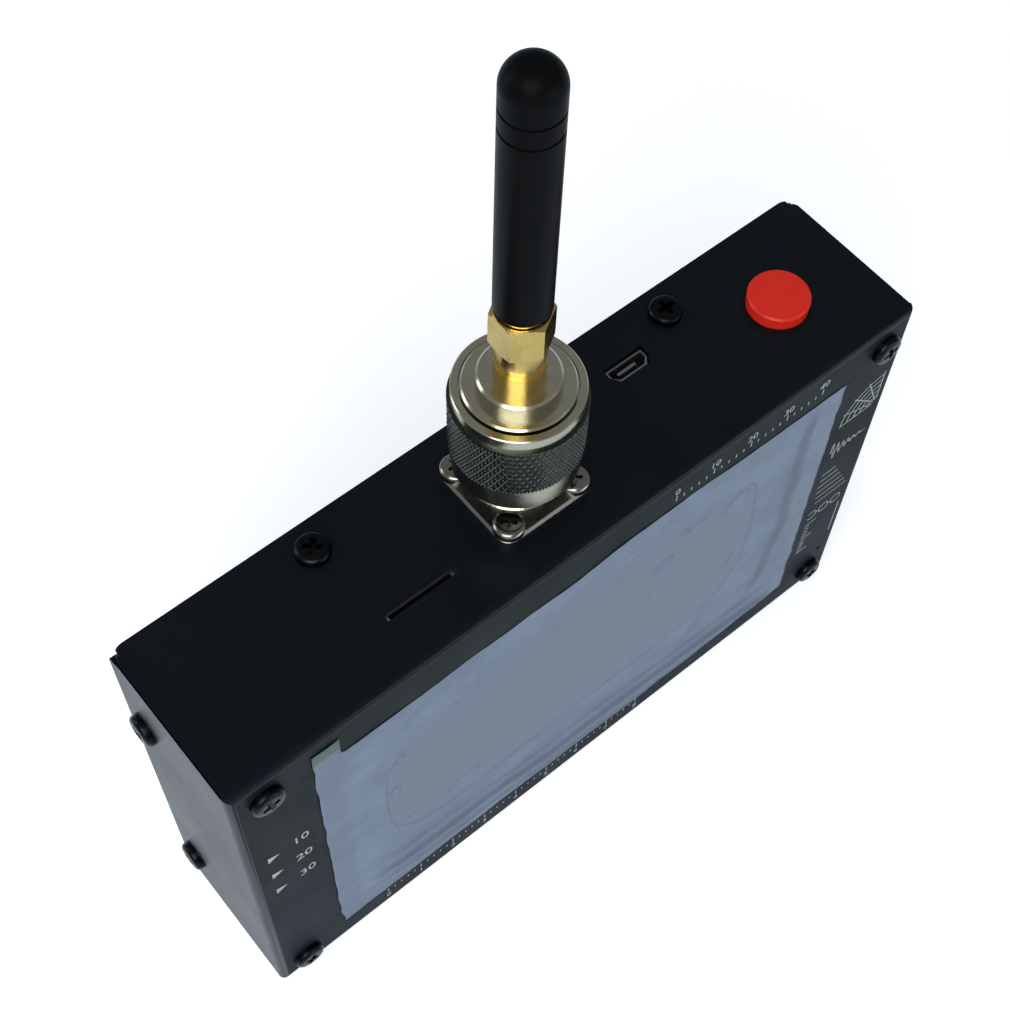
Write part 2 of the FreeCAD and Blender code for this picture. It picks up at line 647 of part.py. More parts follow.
def make_back_cover():
    body = new_body("back_cover")
    back_plane = -half_depth
    plate = new_sketch(body, "XZ", back_plane)
    draw_box(plate, -cover_half_width, cover_half_width, cover_low, cover_high)
    pad(body, plate, dim.sheet_gauge)

    half_ear = dim.ear_width / 2
    ears = new_sketch(body, "XZ", back_plane)
    reliefs = new_sketch(body, "XZ", back_plane)
    relief_depth = 2.0 * dim.sheet_gauge
    for side in (-1.0, 1.0):
        centre = side * dim.top_screw_side
        for rise, edge in ((1.0, cover_high), (-1.0, cover_low)):
            draw_box(ears, centre - half_ear, centre + half_ear, edge - rise * dim.sheet_gauge, edge)
            for hand in (-1.0, 1.0):
                start = centre + hand * half_ear
                draw_box(reliefs, start, start + hand * dim.ear_relief,
                         edge - rise * relief_depth, edge + rise * dim.sheet_gauge)
        edge = side * cover_half_width
        for step in (0.0, 1.0):
            centre = dim.side_screw_low + step * dim.side_screw_pitch
            draw_box(ears, edge - side * dim.sheet_gauge, edge, centre - half_ear, centre + half_ear)
            for hand in (-1.0, 1.0):
                start = centre + hand * half_ear
                draw_box(reliefs, edge - side * relief_depth, edge + side * dim.sheet_gauge,
                         start, start + hand * dim.ear_relief)
    pad(body, ears, dim.ear_depth)
    pocket(body, reliefs, dim.sheet_gauge, reverse=True)
    back = half_depth.value
    ear_width = dim.ear_width.value
    dress(body, "Fillet", 0.8 * dim.sheet_gauge,
          lambda edge: flat(edge, "y", back) and abs(edge.Length - ear_width) < 1e-3)
    free_edge = half_depth.value - dim.ear_depth.value
    dress(body, "Fillet", dim.wall_corner, lambda edge: abs(edge.Length - dim.sheet_gauge.value) < 1e-3
          and flat(edge, "y", free_edge) and (along(edge, "x") or along(edge, "z")))

    hole = dim.insert_radius + dim.insert_play
    top_holes = new_sketch(body, "XY", cover_high)
    for side in (-1.0, 1.0):
        draw_circle(top_holes, side * dim.top_screw_side, cover_screw_y, hole)
    pocket(body, top_holes, 2.0 * dim.sheet_gauge)
    side_holes = new_sketch(body, "YZ")
    for step in (0.0, 1.0):
        draw_circle(side_holes, cover_screw_y, dim.side_screw_low + step * dim.side_screw_pitch, hole)
    pocket(body, side_holes)


# Screws, pressed nuts, spacers and standoffs of the case

def repeated_turning(label, profile, plane, axis, spot, out, planes, x=0.0, y=0.0, z=0.0):
    """Copies of one turned fastener, mirrored in the body's origin planes."""
    body = new_body(label, x, y, z)
    sketch = new_sketch(body, plane, out, spot)
    draw(sketch, profile)
    mirror_all(body, turn(body, sketch, axis), planes)
    return body


def swapped(profile, sign=1.0):
    """Turn pairs of radius and height into pairs of height and radius."""
    return [(sign * as_size(height), radius) for radius, height in profile]


def make_case_fasteners():
    long_screw = screw_profile(dim.head_radius, dim.head_height, dim.screw_radius,
                               dim.front_screw_length)
    outward = [(radius, -as_size(height)) for radius, height in long_screw]
    repeated_turning("front_screws", outward, "XY", "V_Axis", (front_screw_x, -half_depth),
                     front_screw_z, ("YZ", "XY"), z=mid_height)

    short_screw = screw_profile(dim.head_radius, dim.head_height, dim.screw_radius,
                                dim.short_screw_length)
    repeated_turning("top_screws", short_screw, "XZ", "V_Axis",
                     (dim.top_screw_side, dim.case_height), -cover_screw_y, ("YZ",))
    middle = dim.side_screw_low + dim.side_screw_pitch / 2
    repeated_turning("side_screws", swapped(short_screw), "XY", "H_Axis",
                     (half_width, cover_screw_y), dim.side_screw_pitch / 2, ("YZ", "XY"), z=middle)

    bore = screw_hole
    head = -dim.sheet_gauge
    insert = [(bore, 0.0), (dim.insert_radius, 0.0), (dim.insert_radius, head),
              (dim.insert_head_radius, head), (dim.insert_head_radius, head - dim.insert_head_height),
              (bore, head - dim.insert_head_height)]
    repeated_turning("top_inserts", insert, "XZ", "V_Axis", (dim.top_screw_side, cover_high),
                     -cover_screw_y, ("YZ",))
    repeated_turning("side_inserts", swapped(insert), "XY", "H_Axis",
                     (cover_half_width, cover_screw_y), dim.side_screw_pitch / 2, ("YZ", "XY"), z=middle)

    spacer = [(bore, panel_inside), (dim.post_radius, panel_inside),
              (dim.post_radius, display_board_front), (bore, display_board_front)]
    repeated_turning("front_spacers", spacer, "XY", "V_Axis", (front_screw_x, 0.0), front_screw_z,
                     ("YZ", "XY"), z=mid_height)
    standoff = [(bore, display_board_back), (dim.post_radius, display_board_back),
                (dim.post_radius, main_board_front), (bore, main_board_front)]
    repeated_turning("board_standoffs", standoff, "XY", "V_Axis", (front_screw_x, 0.0), front_screw_z,
                     ("YZ", "XY"), z=mid_height)
    rear_screw = screw_profile(dim.head_radius, dim.head_height, dim.screw_radius,
                               dim.short_screw_length)
    repeated_turning("board_screws", rear_screw, "XY", "V_Axis", (front_screw_x, main_board_back),
                     front_screw_z, ("YZ", "XY"), z=mid_height)


# The screen: film, glass, gasket, display module and foam

def make_screen():
    window_low = mid_height - window_rise
    window_high = mid_height + window_rise
    body = new_body("screen_film")
    film = new_sketch(body, "XZ", half_depth)
    left = dim.film_left_inset - window_half
    right = window_half - dim.film_right_inset
    low = window_low - dim.film_low_lap
    high = window_high + dim.film_high_lap
    tab = left + dim.film_tab_width
    tab_high = window_high + dim.film_tab_lap
    draw(film, [(left, low), (right, low), (right, high), (tab, high), (tab, tab_high), (left, tab_high)])
    pad(body, film, dim.film_gauge)

    glass_gauge = dim.sheet_gauge + dim.gasket_gauge
    body = new_body("touch_glass")
    glass = new_sketch(body, "XZ", half_depth)
    draw_box(glass, -glass_half, glass_half, mid_height - glass_rise, mid_height + glass_rise)
    pad(body, glass, glass_gauge, reverse=True)
    dress(body, "Fillet", dim.window_corner - dim.glass_gap, lambda edge: along(edge, "y"))

    display_low = mid_height - display_rise
    display_high = mid_height + display_rise
    body = new_body("screen_gasket")
    ring = new_sketch(body, "XZ", -panel_inside)
    draw_box(ring, -display_half, display_half, display_low, display_high)
    draw_box(ring, -window_half, window_half, window_low, window_high)
    pad(body, ring, dim.gasket_gauge, reverse=True)

    body = new_body("display_module")
    frame = new_sketch(body, "XZ", -glass_back)
    draw_box(frame, -display_half, display_half, display_low, display_high)
    pad(body, frame, dim.display_gauge, reverse=True)
    lip = new_sketch(body, "XZ", -glass_back)
    lip_half = glass_half - dim.display_rim
    lip_rise = glass_rise - dim.display_rim
    draw_box(lip, -lip_half, lip_half, mid_height - lip_rise, mid_height + lip_rise)
    pocket(body, lip, dim.display_lip)

    block("display_foam", (display_half * -0.9, display_back, mid_height - 0.8 * display_rise),
          (display_half * 1.8, dim.foam_gauge, display_rise * 1.6))


# Both boards and what is soldered to them

def board(label, front, side_gap, end_gap, notches):
    """A circuit board with holes in its corners and notches in its top edge."""
    body = new_body(label)
    sketch = new_sketch(body, "XZ", -front)
    half = wall_side_inside - side_gap
    low = mid_height - inner_rise + end_gap
    high = mid_height + inner_rise - end_gap
    points = [(-half, high), (-half, low), (half, low), (half, high)]
    for centre, notch_half, floor in notches:
        points += [(centre + notch_half, high), (centre + notch_half, floor),
                   (centre - notch_half, floor), (centre - notch_half, high)]
    draw(sketch, points)
    for side in (-1.0, 1.0):
        for rise in (-1.0, 1.0):
            draw_circle(sketch, side * front_screw_x, mid_height + rise * front_screw_z, screw_hole)
    pad(body, sketch, dim.board_gauge, reverse=True)
    return low


def make_boards():
    jack_notch = (jack_x, dim.jack_notch_width / 2, wall_top_inside - dim.jack_notch_depth)
    usb_floor = dim.case_height - dim.usb_recess - dim.usb_length - dim.usb_play
    usb_notch = (dim.usb_right, dim.usb_width / 2 + dim.usb_play, usb_floor)
    button_notch = (button_x, dim.button_radius + dim.button_rest, housing_top)
    board("display_board", display_board_front, dim.display_board_side, dim.display_board_end,
          [jack_notch])
    main_board_low = board("main_board", main_board_front, dim.main_board_side, dim.main_board_end,
                           [button_notch, usb_notch, jack_notch])

    header_low = main_board_low + dim.header_rise - dim.header_gauge / 2
    block("board_header", (dim.header_width / -2, display_board_back, header_low),
          (dim.header_width, board_spacing, dim.header_gauge))

    body = new_body("screening_can", jack_x, main_board_front, mid_height + dim.shield_rise)
    can = new_sketch(body, "XZ")
    draw_box(can, dim.shield_width / -2, dim.shield_width / 2, dim.shield_height / -2,
             dim.shield_height / 2)
    pad(body, can, dim.shield_gauge)
    face = -dim.shield_gauge.value
    dress(body, "Fillet", 0.2 * dim.shield_gauge, lambda edge: flat(edge, "y", face))


def make_sockets():
    body = new_body("card_socket", -dim.card_left, display_board_back, wall_top_inside - dim.screw_play)
    half = dim.card_slot_width / 2 + 0.4 * dim.card_socket_gauge
    shell = new_sketch(body, "XY")
    draw_box(shell, -half, half, 0.0, dim.card_socket_gauge)
    pad(body, shell, dim.card_socket_length, reverse=True)
    mouth = new_sketch(body, "XY")
    middle = dim.card_socket_gauge / 2
    draw_box(mouth, dim.card_slot_width * -0.44, dim.card_slot_width * 0.44,
             middle - dim.card_gauge / 2, middle + dim.card_gauge / 2)
    pocket(body, mouth, 0.9 * dim.card_socket_length)

    body = new_body("usb_socket", z=dim.case_height - dim.usb_recess)
    shell = new_sketch(body, "XY")
    draw(shell, usb_outline(0.0))
    pad(body, shell, dim.usb_length, reverse=True)
    mouth = new_sketch(body, "XY")
    draw(mouth, usb_outline(-dim.usb_wall))
    pocket(body, mouth, 0.9 * dim.usb_length)
    tabs = new_sketch(body, "XY", -0.4 * dim.usb_length)
    for side in (-1.0, 1.0):
        edge = dim.usb_right + side * (dim.usb_width / 2 - dim.usb_wall)
        draw_box(tabs, edge, edge + side * (dim.usb_wall + dim.usb_play + dim.usb_tab),
                 main_board_back, main_board_back + dim.usb_wall)
    pad(body, tabs, 0.4 * dim.usb_length, reverse=True)
    tongue = new_sketch(body, "XY", -dim.usb_length)
    reach = 0.5 * dim.usb_width / 2
    draw_box(tongue, dim.usb_right - reach, dim.usb_right + reach,
             usb_y + 0.02 * dim.usb_gauge, usb_y + 0.2 * dim.usb_gauge)
    pad(body, tongue, 0.85 * dim.usb_length)


# The push button, its switch and the reset switch

def make_switches():
    cap_low = -dim.button_skirt
    body = new_body("power_button", button_x, 0.0, dim.case_height)
    cap = new_sketch(body, "XZ")
    draw(cap, [(0.0, cap_low), (dim.button_radius, cap_low), (dim.button_radius, dim.button_proud),
               (0.0, dim.button_proud)])
    turn(body, cap)
    top = dim.button_proud.value
    dress(body, "Chamfer", dim.button_edge, lambda edge: flat(edge, "z", top))
    socket = new_sketch(body, "XY", cap_low)
    reach = dim.switch_post / 2 + dim.insert_play
    draw_box(socket, -reach, reach, -reach, reach)
    pocket(body, socket, dim.button_skirt, reverse=True)

    post_down = 1.5 * dim.button_travel
    body = new_body("switch_housing", button_x, main_board_front - dim.switch_side / 2, housing_top)
    housing = new_sketch(body, "XY")
    half = dim.switch_side / 2
    draw_box(housing, -half, half, -half, half)
    pad(body, housing, dim.switch_length, reverse=True)
    upright = dim.switch_side.value / 2
    dress(body, "Chamfer", 0.08 * dim.switch_side,
          lambda edge: along(edge, "z") and abs(abs(edge.BoundBox.XMin) - upright) < 1e-4)
    guide = new_sketch(body, "XY")
    reach = dim.switch_post / 2 + dim.switch_play
    button_shift = dim.switch_side / 2 - main_board_front
    draw_box(guide, -reach, reach, button_shift - reach, button_shift + reach)
    pocket(body, guide, post_down + 1.2 * dim.button_travel)

    half = dim.switch_post / 2
    post_top = dim.case_height - dim.switch_play
    block("switch_post", (button_x - half, -half, housing_top - post_down),
          (dim.switch_post, dim.switch_post, post_top - housing_top + post_down))

    body = new_body("reset_switch", reset_x, display_board_front, dim.reset_high)
    housing = new_sketch(body, "XZ")
    half = dim.reset_body_side / 2
    draw_box(housing, -half, half, -half, half)
    pad(body, housing, dim.reset_body_height)
    guide = new_sketch(body, "XZ", dim.reset_body_height)
    draw_circle(guide, 0.0, 0.0, dim.reset_post_radius + dim.thread_play)
    pocket(body, guide, 0.7 * dim.reset_body_height)

    body = new_body("reset_plunger", reset_x, display_board_front - dim.reset_body_height, dim.reset_high)
    stem = new_sketch(body, "XY")
    inner = 0.7 * dim.reset_body_height - 1.6 * dim.reset_travel
    draw(stem, [(0.0, -dim.reset_post_length), (dim.reset_post_radius, -dim.reset_post_length),
                (dim.reset_post_radius, inner), (0.0, inner)])
    turn(body, stem)


def make_battery():
    middle = mid_height - dim.battery_drop
    body = new_body("battery", -dim.battery_left, battery_back, middle)
    pouch = new_sketch(body, "XZ")
    half = dim.battery_width / 2
    rise = dim.battery_height / 2
    draw_box(pouch, -half, half, -rise, rise)
    pad(body, pouch, dim.battery_gauge)
    dress(body, "Fillet", dim.battery_edge, lambda edge: along(edge, "z"))
    block("battery_tape", (-dim.battery_left - 0.8 * half, battery_back, middle - 0.8 * rise),
          (1.6 * half, dim.tape_gauge, 1.6 * rise))


# The panel jack on the top wall

def make_jack():
    body = new_body("jack_body", jack_x, jack_y, dim.case_height)
    flange = new_sketch(body, "XY")
    half = dim.flange_side / 2
    draw_box(flange, -half, half, -half, half)
    pad(body, flange, dim.flange_gauge)
    dress(body, "Fillet", dim.flange_corner, lambda edge: along(edge, "z"))
    top = dim.flange_gauge.value
    dress(body, "Chamfer", dim.flange_edge, lambda edge: flat(edge, "z", top))
    barrel = new_sketch(body, "XZ")
    lead = 0.06 * dim.jack_thread_radius
    draw(barrel, [(0.0, -dim.jack_boss_length), (dim.jack_boss_radius, -dim.jack_boss_length),
                  (dim.jack_boss_radius, 0.0), (dim.jack_neck_radius, 0.0),
                  (dim.jack_neck_radius, dim.jack_neck_high - lead),
                  (dim.jack_thread_radius, dim.jack_neck_high), (dim.jack_thread_radius, dim.jack_high - lead),
                  (dim.jack_thread_radius - lead, dim.jack_high), (0.0, dim.jack_high)])
    turn(body, barrel)
    bore = new_sketch(body, "XZ")
    seat = 3.0 * dim.contact_radius - 1.0
    floor = dim.flange_gauge + 1.0
    draw(bore, [(0.0, -dim.jack_boss_length), (seat, -dim.jack_boss_length), (seat, floor),
                (dim.jack_bore_radius, floor), (dim.jack_bore_radius, dim.jack_high), (0.0, dim.jack_high)])
    groove(body, bore)
    holes = new_sketch(body, "XY", dim.flange_gauge)
    for side in (-1.0, 1.0):
        for rise in (-1.0, 1.0):
            draw_circle(holes, side * half_pitch, rise * half_pitch,
                        dim.flange_screw_radius + dim.screw_play)
    pocket(body, holes, 2.0 * dim.flange_gauge)

    shoulder = dim.contact_radius
    gap = dim.insert_play
    turned("jack_insulator", [(shoulder + gap, -dim.jack_boss_length - 1.0),
                              (seat - gap, -dim.jack_boss_length - 1.0), (seat - gap, floor),
                              (shoulder + gap, floor)], jack_x, jack_y, dim.case_height)
    pin_hole = dim.pin_radius + dim.thread_play
    depth = dim.jack_high - dim.pin_drop - 0.5
    turned("jack_contact", [(0.0, -dim.contact_tail), (shoulder, -dim.contact_tail),
                            (shoulder, dim.contact_high), (pin_hole, dim.contact_high),
                            (pin_hole, depth), (0.0, depth)], jack_x, jack_y, dim.case_height)

    body = new_body("jack_screws", jack_x, jack_y, dim.case_height)
    screw = new_sketch(body, "XZ", half_pitch, (half_pitch, dim.flange_gauge))
    draw(screw, screw_profile(dim.flange_head_radius, dim.flange_head_height, dim.flange_screw_radius,
                              dim.flange_screw_length))
    repeat_round(body, turn(body, screw), 4)

    body = new_body("jack_nuts", jack_x, jack_y, wall_top_inside)
    nut = new_sketch(body, "XY")
    corner = dim.flange_nut_side / (2 * cos(radians(30)))
    points = []
    for step in range(6):
        angle = radians(60 * step + 15)
        points.append((half_pitch + cos(angle) * corner, half_pitch + sin(angle) * corner))
    draw(nut, points)
    draw_circle(nut, half_pitch, half_pitch, dim.flange_screw_radius + 0.5 * dim.screw_play)
    repeat_round(body, pad(body, nut, dim.flange_nut_height, reverse=True), 4)


# The adapter: turned body, sleeve, pin, gasket, snap ring and coupling nut

def make_adapter():
    where = (jack_x, jack_y, dim.case_height)
    sleeve_inside = dim.sleeve_radius - dim.sleeve_wall
    seat = dim.jack_high + dim.seal_gauge
    groove_radius = dim.neck_radius - dim.ring_depth
    ring_half = dim.ring_gauge / 2 + dim.ring_play
    disc_low = dim.disc_high - dim.disc_gauge
    bead_top = seat + 0.6 * dim.neck_radius
    turned("adapter_body", [
        (sleeve_inside, dim.jack_high - dim.sleeve_depth), (dim.sleeve_radius, dim.jack_high - dim.sleeve_depth),
        (dim.sleeve_radius, seat), (dim.neck_radius, seat), (dim.neck_radius, dim.ring_high - ring_half),
        (groove_radius, dim.ring_high - ring_half), (groove_radius, dim.ring_high + ring_half),
        (dim.neck_radius, dim.ring_high + ring_half), (dim.neck_radius, disc_low),
        (dim.disc_radius, disc_low), (dim.disc_radius, dim.disc_high - 0.2 * dim.disc_gauge),
        (dim.disc_radius - 0.2 * dim.disc_gauge, dim.disc_high), (dim.hub_radius, dim.disc_high),
        (dim.hub_radius, dim.hub_high - dim.hub_edge), (dim.hub_radius - dim.hub_edge, dim.hub_high),
        (dim.small_thread_radius + dim.insert_play, dim.hub_high),
        (dim.small_thread_radius + dim.insert_play, bead_top + 1.0), (dim.dielectric_radius, bead_top + 1.0),
        (dim.dielectric_radius, bead_top), (sleeve_inside, bead_top)], *where)
    core = 0.6 * dim.dielectric_radius
    turned("adapter_insulator", [(core + dim.insert_play, seat), (sleeve_inside - dim.insert_play, seat),
                                 (sleeve_inside - dim.insert_play, bead_top - dim.insert_play),
                                 (core + dim.insert_play, bead_top - dim.insert_play)], *where)
    tip = dim.jack_high - dim.pin_drop
    socket_low = dim.small_jack_high - dim.small_bore_depth - 5.0 * dim.small_pin_radius
    contact_high = dim.small_jack_high - dim.small_bore_depth
    hole = dim.small_pin_radius + dim.thread_play
    thin = dim.small_pin_radius + 0.35 * dim.small_pin_radius + dim.thread_play
    turned("adapter_pin", [(0.0, tip), (0.4 * dim.pin_radius, tip), (dim.pin_radius, tip + dim.pin_radius),
                           (dim.pin_radius, seat - 1.0), (core, seat - 1.0), (core, bead_top),
                           (thin, bead_top + 0.5), (thin, contact_high), (hole, contact_high),
                           (hole, socket_low), (0.0, socket_low)], *where)
    turned("nut_gasket", [(dim.sleeve_radius + dim.insert_play, dim.jack_high),
                          (dim.jack_thread_radius - 0.06 * dim.jack_thread_radius, dim.jack_high),
                          (dim.jack_thread_radius - 0.06 * dim.jack_thread_radius, seat),
                          (dim.sleeve_radius + dim.insert_play, seat)], *where)

    bore = dim.neck_radius + dim.thread_play
    ring_out = bore + dim.ring_depth - dim.ring_play
    body = new_body("snap_ring", *where)
    ring = new_sketch(body, "XZ")
    half = dim.ring_gauge / 2
    ring_in = groove_radius + dim.ring_play
    draw(ring, [(ring_in, dim.ring_high - half), (ring_out, dim.ring_high - half),
                (ring_out, dim.ring_high + half), (ring_in, dim.ring_high + half)])
    turn(body, ring)
    gap = new_sketch(body, "XY", dim.ring_high + half)
    draw_box(gap, 0.0, 1.2 * ring_out, dim.ring_gauge * -0.7, dim.ring_gauge * 0.7)
    pocket(body, gap, dim.ring_gauge)

    turned("small_jack", [
        (dim.dielectric_radius, bead_top + 1.0), (dim.small_thread_radius, bead_top + 1.0),
        (dim.small_thread_radius, dim.hub_high), (dim.small_base_radius, dim.hub_high),
        (dim.small_base_radius, dim.small_base_high), (dim.small_relief_radius, dim.small_base_high),
        (dim.small_relief_radius, dim.small_thread_low), (dim.small_thread_radius, dim.small_thread_low),
        (dim.small_thread_radius, dim.small_jack_high - 0.4), (dim.small_thread_radius - 0.4, dim.small_jack_high),
        (dim.small_bore_radius, dim.small_jack_high), (dim.small_bore_radius, contact_high),
        (dim.dielectric_radius, contact_high)], *where)
    turned("small_insulator", [(thin + dim.insert_play, bead_top + 0.5),
                               (dim.dielectric_radius - dim.insert_play, bead_top + 0.5),
                               (dim.dielectric_radius - dim.insert_play, contact_high),
                               (thin + dim.insert_play, contact_high)], *where)
    return bore, ring_out, ring_half


def make_coupling_nut(bore, ring_out, ring_half):
    thread = dim.jack_thread_radius + dim.thread_play
    thread_top = dim.nut_low + dim.nut_thread_depth
    mouth = 0.5
    recess = dim.nut_high - dim.nut_recess_depth
    groove_out = ring_out + dim.ring_play
    rise = dim.nut_knurl_radius - dim.nut_band_radius
    turned("coupling_nut", [
        (thread + mouth, dim.nut_low), (dim.nut_band_radius - 0.5 * mouth, dim.nut_low),
        (dim.nut_band_radius, dim.nut_low + 0.5 * mouth), (dim.nut_band_radius, dim.nut_knurl_low - rise),
        (dim.nut_knurl_radius, dim.nut_knurl_low), (dim.nut_knurl_radius, dim.nut_knurl_high),
        (dim.nut_top_radius, dim.nut_knurl_high + 0.8 * mouth), (dim.nut_top_radius, dim.nut_high - 0.3 * mouth),
        (dim.nut_top_radius - 0.3 * mouth, dim.nut_high), (dim.nut_recess_radius, dim.nut_high),
        (dim.nut_recess_radius, recess), (bore, recess), (bore, dim.ring_high + ring_half),
        (groove_out, dim.ring_high + ring_half), (groove_out, dim.ring_high - ring_half),
        (bore, dim.ring_high - ring_half), (bore, thread_top), (thread, thread_top),
        (thread, dim.nut_low + mouth)], jack_x, jack_y, dim.case_height)


# The antenna: hexagon nut, ferrule, pin, radiator and sheath

def make_antenna():
    where = (jack_x, jack_y, dim.case_height)
    body = new_body("antenna_nut", *where)
    corner = dim.hex_side / (2 * cos(radians(30)))
    flats = new_sketch(body, "XY", dim.hex_start)
    points = [(cos(radians(60 * step + 30)) * corner, sin(radians(60 * step + 30)) * corner)
              for step in range(6)]
    draw(flats, points)
    pad(body, flats, dim.hex_high - dim.hex_start)
    for level, inward in ((dim.hex_high, -1.0), (dim.hex_start, 1.0)):
        bevel = new_sketch(body, "XZ")
        land = dim.hex_side / 2 - 0.1
        wide = land + 3.0 * dim.hex_edge
        draw(bevel, [(land, level), (wide, level), (wide, level + inward * 1.7 * dim.hex_edge)])
        groove(body, bevel)
    skirt = new_sketch(body, "XZ")
    draw(skirt, [(0.0, dim.hex_low), (dim.hex_skirt_radius - 0.2, dim.hex_low),
                 (dim.hex_skirt_radius, dim.hex_low + 0.2), (dim.hex_skirt_radius, dim.hex_start),
                 (0.0, dim.hex_start)])
    turn(body, skirt)
    thread = dim.small_thread_radius + dim.thread_play
    thread_top = dim.small_jack_high + dim.ferrule_flange + dim.insert_play
    neck = dim.ferrule_radius + dim.thread_play
    hole = new_sketch(body, "XZ")
    draw(hole, [(0.0, dim.hex_low), (thread, dim.hex_low), (thread, thread_top), (neck, thread_top),
                (neck, dim.hex_high), (0.0, dim.hex_high)])
    groove(body, hole)

    sleeve_out = dim.small_bore_radius - dim.thread_play
    sleeve_in = dim.dielectric_radius - dim.insert_play
    flange_out = dim.small_thread_radius - dim.insert_play
    flange_top = dim.small_jack_high + dim.ferrule_flange
    collar_low = dim.hex_high + 0.25
    stem_top = dim.sheath_low + dim.stem_length
    bore = dim.sheath_bore - dim.insert_play
    turned("antenna_ferrule", [
        (sleeve_in, dim.small_jack_high - dim.small_bore_depth + 0.2),
        (sleeve_out, dim.small_jack_high - dim.small_bore_depth + 0.2), (sleeve_out, dim.small_jack_high),
        (flange_out, dim.small_jack_high), (flange_out, flange_top), (dim.ferrule_radius, flange_top),
        (dim.ferrule_radius, collar_low),
        (dim.collar_radius, collar_low), (dim.collar_radius, dim.sheath_low),
        (dim.stem_radius, dim.sheath_low), (dim.stem_radius, stem_top), (sleeve_in - 0.6, stem_top),
        (sleeve_in - 0.6, thread_top + 2.0), (sleeve_in, thread_top + 2.0)], *where)
    turned("antenna_insulator", [(dim.small_pin_radius + dim.insert_play, dim.small_jack_high),
                                 (sleeve_in - dim.insert_play, dim.small_jack_high),
                                 (sleeve_in - dim.insert_play, thread_top + 1.9),
                                 (dim.small_pin_radius + dim.insert_play, thread_top + 1.9)], *where)
    coil_low = stem_top + 1.0
    disc_low = coil_low - dim.coil_seat
    disc_out = dim.coil_radius
    tip = dim.small_jack_high - dim.small_bore_depth - 3.5 * dim.small_pin_radius
    turned("antenna_pin", [(0.0, tip), (dim.small_pin_radius, tip + dim.small_pin_radius),
                           (dim.small_pin_radius, disc_low), (disc_out, disc_low), (disc_out, coil_low),
                           (0.0, coil_low)], *where)

    sheath = turned("antenna_sheath", [
        (dim.stem_radius + dim.insert_play, dim.sheath_low), (dim.sheath_radius, dim.sheath_low),
        (dim.sheath_radius, dim.lower_groove), (dim.sheath_radius - dim.ring_groove_depth, dim.lower_groove),
        (dim.sheath_radius - dim.ring_groove_depth, dim.lower_groove + dim.ring_groove),
        (dim.sheath_radius, dim.lower_groove + dim.ring_groove), (dim.sheath_radius, dim.upper_groove),
        (dim.sheath_radius - dim.ring_groove_depth, dim.upper_groove),
        (dim.sheath_radius - dim.ring_groove_depth, dim.upper_groove + dim.ring_groove),
        (dim.sheath_radius, dim.upper_groove + dim.ring_groove), (dim.sheath_radius, dim.sheath_high),
        (0.0, dim.sheath_high), (0.0, dim.sheath_high - dim.sheath_wall_end),
        (bore, dim.sheath_high - dim.sheath_wall_end), (bore, stem_top),
        (dim.stem_radius + dim.insert_play, stem_top)], *where)
    tip = dim.sheath_high.value
    dress(sheath, "Fillet", dim.sheath_dome, lambda edge: flat(edge, "z", tip))

    coil_high = coil_low + dim.coil_length
    turned("antenna_coil", [(dim.coil_radius - dim.coil_wire, coil_low), (dim.coil_radius, coil_low),
                            (dim.coil_radius, coil_high), (dim.coil_radius - dim.coil_wire, coil_high)],
           *where)


make_front_shell()
make_back_cover()
make_case_fasteners()
make_screen()
make_boards()
make_sockets()
make_switches()
make_battery()
make_jack()
make_coupling_nut(*make_adapter())
make_antenna()
doc.recompute()

for item in doc.Objects:
    if "Invalid" in item.State or "Error" in item.State:
        raise RuntimeError(f"{item.Label} failed: {item.State}")
for piece in pieces:
    if piece.Shape.isNull() or not piece.Shape.isValid():
        raise RuntimeError(f"{piece.Label} has no valid shape")
for piece in pieces:
    piece.Shape.exportStep(f"parts/{piece.Label}.step")
    print(piece.Label, len(piece.Shape.Solids), round(piece.Shape.Volume, 2))
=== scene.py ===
"""Looks of a handheld antenna analyzer: a folded black case with a filmed touch screen, a panel jack,
a knurled adapter and a stub antenna. Lengths in the classes are millimetres; the scene is in metres."""

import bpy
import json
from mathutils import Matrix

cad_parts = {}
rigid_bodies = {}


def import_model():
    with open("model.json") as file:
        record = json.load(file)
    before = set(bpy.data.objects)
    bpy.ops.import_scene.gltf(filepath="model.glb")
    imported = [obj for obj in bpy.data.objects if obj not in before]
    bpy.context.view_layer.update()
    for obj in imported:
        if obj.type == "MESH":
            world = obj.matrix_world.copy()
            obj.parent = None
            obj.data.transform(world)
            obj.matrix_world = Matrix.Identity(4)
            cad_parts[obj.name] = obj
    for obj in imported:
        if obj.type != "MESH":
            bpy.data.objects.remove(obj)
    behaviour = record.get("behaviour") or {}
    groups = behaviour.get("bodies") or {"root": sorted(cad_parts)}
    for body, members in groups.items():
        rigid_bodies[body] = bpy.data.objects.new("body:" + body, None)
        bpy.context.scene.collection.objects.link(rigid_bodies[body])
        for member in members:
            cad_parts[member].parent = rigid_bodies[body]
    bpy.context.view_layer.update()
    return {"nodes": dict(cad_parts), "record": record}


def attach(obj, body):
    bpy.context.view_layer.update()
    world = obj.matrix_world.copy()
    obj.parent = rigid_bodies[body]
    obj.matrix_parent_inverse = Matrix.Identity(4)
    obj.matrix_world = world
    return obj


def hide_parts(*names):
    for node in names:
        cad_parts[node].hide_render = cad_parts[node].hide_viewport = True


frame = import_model()

import json
import logging
import math
from dataclasses import dataclass
from enum import Enum
from typing import Callable, Iterable, Sequence

import bmesh
import bpy
from mathutils import Matrix, Vector, noise

